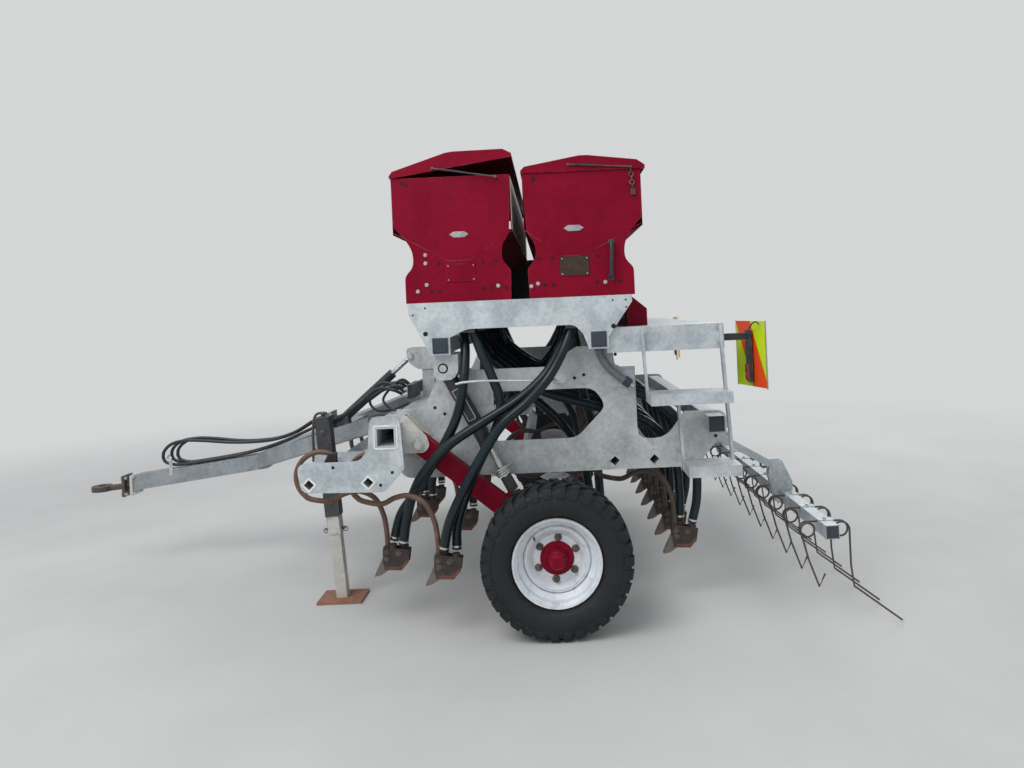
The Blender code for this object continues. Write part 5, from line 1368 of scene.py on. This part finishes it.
@dataclass
class FrameFittings(Assembly):
    """Zinc finish of the frame, tube caps, bolts, rods and clips."""

    def build(self) -> None:
        """Dress the frame's nodes and add its fittings."""
        groups = (("weathered_zinc", ("main_plate",)), ("beige_zinc", ("arm_bracket",)),
                  ("galvanised", ("front_plate", "inner_front_plate", "cradle_plate")))
        for finish, names in groups:
            self.dress(finish, *(f"{name}_{side}" for name in names for side, _ in SIDES))
        self.dress("galvanised", "cradle_beam_front", "cradle_beam_rear", "front_beam", "rear_beam", "platform",
                   "ladder")
        self.dress("weathered_zinc", "headstock")
        self.dress("dull_zinc", "drawbar")
        for side, sign in SIDES:
            self._side(side, sign)
        self._headstock()
        self._platform()

    def _cap(self, shape: Shape, x: float, z: float, y: float, sign: float, half: float) -> None:
        """Plastic cap in a tube's end."""
        low, high = sorted((y - sign * 0.010, y + sign * 0.003))
        shape.block((x - half, low, z - half), (x + half, high, z + half), 1)
        low, high = sorted((y, y + sign * 0.0055))
        inner = half - 0.008
        shape.block((x - inner, low, z - inner), (x + inner, high, z + inner), 1)

    def _side(self, side: str, sign: float) -> None:
        """Fittings on one side of the frame.

        Args:
            side: name of the side.
            sign: +1 on the left, -1 on the right.
        """
        shape = Shape(f"frame_fittings_{side}")
        for node, half in (("cradle_beam_front", 0.0395), ("cradle_beam_rear", 0.0395), ("rear_beam", 0.0395)):
            low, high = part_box(node)
            x, z = (low.x + high.x) / 2 - AXLE_X, (low.z + high.z) / 2
            if node == "rear_beam":
                x, z = -0.842, 0.981
            self._cap(shape, x, z, (high.y if sign > 0 else low.y), sign, half)
        plate_out = 1.126
        # holes in the main plate, drawn as black discs of painted shade
        for x, z in ((-0.060, 1.230), (-0.130, 1.235), (0.610, 1.110), (0.560, 1.075), (-0.180, 1.250),
                     (-0.480, 0.960), (-0.860, 0.900), (-0.350, 1.350)):
            shape.rod((x, sign * (plate_out - 0.002), z), (x, sign * (plate_out + 0.0012), z), 0.009, 14, 2)
        # ram pin with its retaining ring, rod lug, pivot bolt
        x, z = 0.543, 1.322
        shape.rod((x, sign * (plate_out - 0.001), z), (x, sign * (plate_out + 0.008), z), 0.030, 28, 3)
        lug = [(0.590, 1.391), (0.591, 1.285), (0.580, 1.268), (0.560, 1.260), (0.505, 1.262), (0.482, 1.276),
               (0.468, 1.300), (0.464, 1.330), (0.464, 1.391)]
        shape.prism(lug, *sorted((sign * 1.2285, sign * 1.2365)), 5)
        shape.rod((x, sign * 1.230, z), (x, sign * 1.2385, z), 0.026, 28, 2)
        shape.rod((x, sign * 1.230, z), (x, sign * 1.2440, z), 0.0185, 24, 5)
        # holes in the cradle plate, drawn as black discs of painted shade
        for hx, hz, size in ((0.677, 1.600, 0.005), (0.615, 1.633, 0.005), (0.6175, 1.503, 0.0125),
                             (-0.336, 1.635, 0.005), (-0.402, 1.634, 0.005), (-0.404, 1.597, 0.005),
                             (-0.335, 1.503, 0.0125)):
            shape.rod((hx, sign * (CRADLE_FACE - 0.002), hz), (hx, sign * (CRADLE_FACE + 0.0008), hz), size, 18, 2)
        shape.bolt((0.687, sign * 1.2455, 0.940), Axis.Y, sign, 0.021, 3)
        # long stroke rod across the side plate
        rod_y = sign * 1.275
        route = [(0.478, rod_y, 1.242), (0.440, rod_y, 1.250), (0.300, rod_y, 1.252), (-0.020, rod_y, 1.237),
                 (-0.050, rod_y, 1.233)]
        if sign > 0:
            shape.tube(smooth_path(route, 0.03), 0.0065, 12, 0)
            shape.rod((-0.020, plate_out, 1.237), (-0.020, rod_y, 1.237), 0.008, 12, 0)
            shape.rod((-0.062, sign * plate_out, 1.237), (-0.062, sign * (plate_out + 0.004), 1.237), 0.028, 24, 0)
        # lower bolt holes of the front plate as black discs of painted shade, weld ring around the front beam in the
        # lit zinc as a painted highlight on the beam's rim
        for x, z in ((0.850, 0.775), (0.790, 0.835), (1.080, 0.870)):
            shape.rod((x, sign * 1.396, z), (x, sign * 1.3985, z), 0.008, 14, 2)
        for k in range(4):
            turn = math.pi / 2 * k
            cx, cz = 0.816 + 0.0555 * math.cos(turn), 1.008 + 0.0555 * math.sin(turn)
            flat = abs(math.cos(turn)) > 0.5
            reach = (0.004, 0.054) if flat else (0.054, 0.004)
            shape.block((cx - reach[0], min(sign * 1.396, sign * 1.4005), cz - reach[1]),
                        (cx + reach[0], max(sign * 1.396, sign * 1.4005), cz + reach[1]), 4)
        self.finish(shape, "root", "galvanised", "cap_plastic", "bare_hole", "plated", "lit_zinc",
                    "weathered_zinc", bevel=0.001)
        self._elbow(side, sign)

    def _elbow(self, side: str, sign: float) -> None:
        """Grey ribbed drain hose below the rear cradle beam."""
        shape = Shape(f"drain_hose_{side}")
        y = sign * 1.165
        route = smooth_path([(-0.262, y, 1.392), (-0.272, y, 1.350), (-0.300, y, 1.296), (-0.345, y, 1.250),
                             (-0.398, y, 1.210)], 0.0045)
        shape.tube(route, [0.021 - (0.0014 if i % 2 else 0.0) for i in range(len(route))], 16, 0)
        end = route[-1]
        along = (route[-1] - route[-3]).normalized()
        shape.tube([end - along * 0.012, end + along * 0.026], 0.0255, 8, 1)
        shape.tube([end + along * 0.02, end + along * 0.045], 0.014, 14, 2)
        shape.prism([(-0.360, 1.180), (-0.450, 1.180), (-0.440, 1.262), (-0.400, 1.270)],
                    *sorted((sign * 1.127, sign * 1.132)), 3)
        self.finish(shape, "root", "grey_hose", "cap_plastic", "plated", "galvanised")

    def _headstock(self) -> None:
        """Couplings, valve block and short hoses behind the drawbar; five hoses run from the valve block to the
        drawbar.
        """
        shape = Shape("headstock_fittings")
        for y in (-0.055, 0.055):
            side = 1.0 if y > 0 else -1.0
            shape.bolt((0.930, y - side * 0.006, 1.330), Axis.Y, side, 0.018, 2)
        shape.block((0.870, 0.060, 1.075), (0.905, 0.330, 1.165), 1)
        shape.block((0.880, -0.300, 1.080), (0.910, -0.060, 1.150), 1)
        hoses = Shape("headstock_hoses")
        for k, y in enumerate((0.090, 0.140, 0.190, 0.240, 0.290)):
            z = 1.100 + 0.032 * (k % 2)
            shape.rod((0.900, y, z), (0.945, y, z - 0.004), 0.014, 6, 2)
            end = (1.434, 0.070 + 0.026 * k, 0.945 - 0.030 * (k % 2))
            hump = 0.055 + 0.035 * (k % 3)
            route = [(0.940, y, z), (1.000, y + 0.006, z + 0.004 + hump * 0.3), (1.100, y - 0.010, 1.080 + hump * 0.7),
                     (1.210, y - 0.030, 1.030 + hump * 0.4), (1.330, (y + end[1]) / 2, 0.975 + hump * 0.1), end]
            hoses.tube(smooth_path(route, 0.015), 0.0105, 10, 0)
        loops = [[(0.905, 0.200, 1.150), (0.960, 0.220, 1.190), (1.040, 0.230, 1.130), (1.080, 0.240, 1.060),
                  (1.010, 0.260, 1.000), (0.930, 0.280, 1.010)],
                 [(0.905, 0.110, 1.120), (0.980, 0.100, 1.165), (1.120, 0.090, 1.140), (1.200, 0.100, 1.050),
                  (1.150, 0.120, 0.985), (1.040, 0.150, 0.990), (0.930, 0.170, 1.030)]]
        for loop in loops:
            shape.tube(smooth_path(loop, 0.014), 0.0085, 10, 3)
        self.finish(shape, "root", "galvanised", "black_paint", "plated", "black_hose", bevel=0.0008)
        flexible = hoses.build([self.paints["black_hose"]], 0.0)
        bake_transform(flexible)
        log.info("%s: %d faces between root and drawbar", hoses.name, len(hoses.faces))
        couplings = Shape("hose_couplings")
        for k in range(3):
            y = 0.080 + 0.042 * k
            for z in (0.967, 0.911):
                couplings.rod((1.430, y, z), (1.4475, y, z), 0.0165, 6, 0)
        self.finish(couplings, "drawbar", "plated", bevel=0.0008)

    def _platform(self) -> None:
        """Chequer pattern on the deck and ladder steps, and bolts."""
        shape = Shape("step_chequer")
        steps = ((-0.880, -0.495, 1.262, 1.446, 1.166), (-0.908, -0.664, 1.262, 1.446, 0.810))
        for x0, x1, y0, y1, z in steps:
            self._chequer(shape, x0, x1, y0, y1, z, 0.030)
        self._chequer(shape, -0.890, -0.540, -1.200, 1.200, 1.495, 0.042)
        for x, z in ((-0.400, 1.440), (-0.495, 1.470), (-0.865, 1.475), (-0.875, 1.400)):
            for side in (1.0, -1.0):
                shape.bolt((x, side * 1.2505, z), Axis.Y, side, 0.011, 1)
        self.finish(shape, "root", "galvanised", "plated")

    @staticmethod
    def _chequer(shape: Shape, x0: float, x1: float, y0: float, y1: float, z: float, pitch: float) -> None:
        """Raised lozenges, turned by a right angle from one to the next."""
        columns, lines = int((x1 - x0) / pitch), int((y1 - y0) / pitch)
        for i in range(columns):
            for j in range(lines):
                x, y = x0 + (i + 0.5) * pitch, y0 + (j + 0.5) * pitch
                turn = math.radians(45.0 if (i + j) % 2 else -45.0)
                along = Vector((math.cos(turn), math.sin(turn), 0.0)) * pitch * 0.42
                across = Vector((-math.sin(turn), math.cos(turn), 0.0)) * pitch * 0.11
                middle = Vector((x, y, z - 0.0006))
                crown = Vector((0.0, 0.0, 0.0022))
                points = [middle - along, middle + across, middle + along, middle - across, middle + crown]
                shape.add(points, [(0, 4, 1), (1, 4, 2), (2, 4, 3), (3, 4, 0), (0, 1, 2, 3)], 0)


@dataclass
class Rams(Assembly):
    """Lift rams and top link: paint, glands, stroke clips and pins."""

    def build(self) -> None:
        """Dress the CAD pieces and add the fittings."""
        for side, sign in SIDES:
            self.dress("black_paint", f"lift_ram_barrel_{side}")
            self.dress("plated", f"lift_ram_rod_{side}")
            self.dress("crimson", f"wheel_arm_{side}")
            self._lift_ram(side, sign)
        self.dress("black_paint", "top_link_barrel")
        self.dress("plated", "top_link_rod")

    def _lift_ram(self, side: str, sign: float) -> None:
        """Gland on the barrel and the stack of clips on the rod.

        Args:
            side: name of the side.
            sign: +1 on the left, -1 on the right.
        """
        top, eye = Vector((0.543, sign * 1.180, 1.322)), Vector((0.2005, sign * 1.180, 0.650))
        along = (eye - top).normalized()
        run = eye - top
        mouth = top + run * 0.62
        lead = Vector((along.z, 0.0, -along.x))
        barrel = Shape(f"lift_ram_gland_{side}")
        barrel.tube([mouth - along * 0.030, mouth - along * 0.002], 0.0425, 28, 0)
        barrel.tube([mouth - along * 0.004, mouth + along * 0.006], [0.036, 0.030], 28, 1)
        for share in (0.10, 0.54):
            base = top + run * share
            barrel.tube([base + lead * 0.034, base + lead * 0.056], 0.012, 6, 1)
        facing = Matrix.Translation(top + run * 0.285) @ Matrix.Rotation(math.atan2(-along.z, along.x), 4, "Y")
        low, high = sorted((sign * 0.030, sign * 0.0412))
        barrel.block((-0.090, low, -0.022), (0.090, high, 0.022), 2, facing)
        low, high = sorted((sign * 0.030, sign * 0.0418))
        barrel.block((-0.086, low, -0.018), (0.086, high, 0.018), 0, facing)
        self.finish(barrel, f"lift_ram_barrel_{side}", "black_paint", "plated", "label_plate")
        clips = Shape(f"stroke_clips_{side}")
        first, step = 0.787, 0.0155
        for k in range(4):
            place = top + run * (first + step * k)
            clips.tube([place, place + along * 0.007], 0.043 - 0.005 * (k % 2), 28, 0)
            low, high = sorted((sign * 0.030, sign * 0.044))
            clips.block((0.0, low, -0.006), (0.008, high, 0.006), 0,
                        Matrix.Translation(place) @ Matrix.Rotation(math.atan2(-along.z, along.x), 4, "Y"))
        for way in (-1.0, 1.0):
            place = top + run * (first + step * (1 if way > 0 else 2))
            clips.rod(place + lead * (way * 0.036), place + lead * (way * 0.062) - along * 0.006, 0.0045, 8, 0)
        clips.tube([top + run * 0.857, top + run * 0.962], 0.030, 28, 1)
        self.finish(clips, f"lift_ram_rod_{side}", "plated", "black_paint")


@dataclass
class Jack(Assembly):
    """Parking jack: worn square tube that leans, crank, pins and rusty foot."""

    x: float = 1.290
    y: float = 0.776
    clamp_z: float = 0.800
    lean: float = math.radians(4.0)

    def build(self) -> None:
        """Dress the tube and leg and add their fittings."""
        self.dress("jack_steel", "jack_tube")
        self.dress("beige_zinc", "jack_leg")
        self._crank()
        self._foot()

    def _tilt(self, shape: Shape) -> None:
        """Turn a shape about the clamp by the jack's lean."""
        clamp = Vector((self.x, self.y, self.clamp_z))
        turn = Matrix.Translation(clamp) @ Matrix.Rotation(self.lean, 4, "Y") @ Matrix.Translation(-clamp)
        shape.vertices = [turn @ v for v in shape.vertices]

    def _crank(self) -> None:
        """Cap, crank, bolts and locking pin of the tube."""
        shape = Shape("jack_crank")
        x, y, top = self.x, self.y, 1.040
        shape.block((x - 0.043, y - 0.043, top - 0.004), (x + 0.043, y + 0.043, top + 0.004), 0)
        shape.rod((x, y, top), (x, y, top + 0.028), 0.012, 12, 0)
        crank = [(x - 0.022, y, top + 0.022), (x, y, top + 0.026), (x + 0.030, y, top + 0.024),
                 (x + 0.050, y + 0.002, top + 0.004), (x + 0.066, y + 0.004, top - 0.070),
                 (x + 0.074, y + 0.006, top - 0.180)]
        shape.tube(smooth_path(crank, 0.012), 0.0075, 12, 1)
        shape.rod((x + 0.072, y + 0.005, top - 0.170), (x + 0.078, y + 0.007, top - 0.245), 0.011, 12, 0)
        for z in (0.560, 0.700, 0.960):
            shape.bolt((x, y + 0.040, z), Axis.Y, 1.0, 0.010, 1)
        for k in range(2):
            wide, thin = 0.0355, 0.0045
            for way in (-1.0, 1.0):
                near, far = sorted((way * wide, way * (wide - thin)))
                span = (near, far, -wide, wide) if k else (-wide, wide, near, far)
                shape.block((x + span[0], y + span[2], 0.375), (x + span[1], y + span[3], 0.482), 2)
        for way in (-1.0, 1.0):
            shape.rod((x + way * 0.0350, y, 0.400), (x + way * 0.058, y, 0.400), 0.0075, 12, 1)
            shape.turned([(0.010, 0.0), (0.013, 0.003), (0.016, 0.0), (0.013, -0.003)], (x + way * 0.056, y, 0.394),
                         Axis.Y, 16, 1)
        self._tilt(shape)
        self.finish(shape, "root", "jack_steel", "brown_steel", "beige_zinc", bevel=0.001)

    def _foot(self) -> None:
        """Studded foot plate."""
        middle = self.x - self.clamp_z * math.sin(self.lean)
        foot = Shape("jack_foot_plate")
        foot.block((middle - 0.1257, self.y - 0.0957, 0.0002), (middle + 0.1257, self.y + 0.0957, 0.0150), 0)
        for i in range(7):
            for j in range(5):
                place = (middle - 0.105 + i * 0.035, self.y - 0.070 + j * 0.035, 0.0145)
                if abs(place[0] - middle) > 0.035 or abs(place[1] - self.y) > 0.035:
                    foot.turned([(0.0, 0.0028), (0.005, 0.002), (0.0075, 0.0), (0.0, 0.0)], place, Axis.Z, 10, 0)
        self.finish(foot, "jack_leg", "rusty_plate")


@dataclass
class Hitch(Assembly):
    """Drawbar nose, swivel bolts, forged ring and hose hook."""

    def build(self) -> None:
        """Dress the eye and add the nose fittings."""
        self.dress("brown_steel", "hitch_eye")
        nose = Shape("drawbar_nose")
        for y in (-0.048, 0.048):
            for z in (0.494, 0.598):
                nose.bolt((NOSE_FLANGE_X, y, z), Axis.X, -1.0, 0.011, 1)
        hook = [(2.560, 0.050, 0.650), (2.556, 0.052, 0.700), (2.560, 0.046, 0.722), (2.580, 0.030, 0.732),
                (2.598, 0.012, 0.722), (2.602, 0.004, 0.706)]
        nose.tube(smooth_path(hook, 0.008), 0.0045, 10, 1)
        nose.block((2.548, 0.0495, 0.600), (2.572, 0.0535, 0.690), 1)
        for x in (1.960,):
            nose.rod((x, 0.050, 0.668), (x, 0.0515, 0.668), 0.042, 32, 0)
        low, high = sorted((NOSE_FLANGE_X + 0.0004, 2.8352))
        nose.block((low, -0.0622, 0.4798), (high, 0.0622, 0.6122), 2)
        self.finish(nose, "drawbar", "dull_zinc", "plated", "beige_zinc", bevel=0.0008)
        swivel = Shape("swivel_flange")
        for y in (-0.040, 0.040):
            for z in (0.488, 0.592):
                swivel.bolt((2.8945, y, z), Axis.X, 1.0, 0.010, 1)
                swivel.bolt((2.8755, y, z), Axis.X, -1.0, 0.010, 1)
        swivel.turned([(0.030, 0.0), (0.036, 0.004), (0.036, 0.012), (0.030, 0.016)], (2.840, 0.0, 0.545), Axis.X, 28, 0)
        self.finish(swivel, "hitch_eye", "brown_steel", "plated")


@dataclass
class MarkerBoards(Assembly):
    """Striped boards on black brackets, with a lamp and its cable."""

    def build(self) -> None:
        """Make both boards in place of the plain ones."""
        for side, sign in SIDES:
            shape = Shape(f"marker_board_{side}_film")
            turn = (Matrix.Translation((-1.062, sign * 1.150, 0.0))
                    @ Matrix.Rotation(math.radians(14.0 * sign), 4, "Z"))
            low, high = sorted((-0.160 * sign, 0.150 * sign))
            shape.block((-0.002, low, 1.154), (0.002, high, 1.496), 0, turn)
            edge = 0.005
            shape.block((-0.003, low, 1.150), (0.003, low + edge, 1.498), 2, turn)
            shape.block((-0.003, high - edge, 1.150), (0.003, high, 1.498), 2, turn)
            y0, y1 = sorted((sign * 1.130, sign * 1.170))
            shape.block((-1.058, y0, 1.400), (PLATFORM_REAR_X - 0.0003, y1, 1.436), 1)
            y0, y1 = sorted((sign * 1.118, sign * 1.182))
            shape.block((-1.056, y0, 1.180), (-1.038, y1, 1.448), 1)
            shape.block((-1.040, y0 + 0.004, 1.190), (-1.030, y1 - 0.004, 1.270), 3)
            cable = [(-1.034, sign * 1.172, 1.425), (-1.042, sign * 1.200, 1.462), (-1.050, sign * 1.235, 1.486),
                     (-1.062, sign * 1.265, 1.492), (-1.070, sign * 1.280, 1.480)]
            shape.tube(smooth_path(cable, 0.008), 0.0035, 10, 1)
            for z in (1.210, 1.240, 1.400, 1.430):
                shape.bolt((-1.038, sign * 1.150, z), Axis.X, 1.0, 0.006, 2)
            piece = self.finish(shape, "root", "marker_film", "black_paint", "plated", "lens_red", bevel=0.0005)
            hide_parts(f"marker_board_{side}")


def main() -> None:
    """Build the assemblies in order."""
    Studio().build()
    paints = Paints()
    for kind in (FrameFittings, Hoppers, Wheel, TineRanks, SeedHoses, Harrow, Rams, Jack, Hitch, MarkerBoards,
                 HydraulicHoses):
        kind(paints).build()


if __name__ == "__main__":
    main()
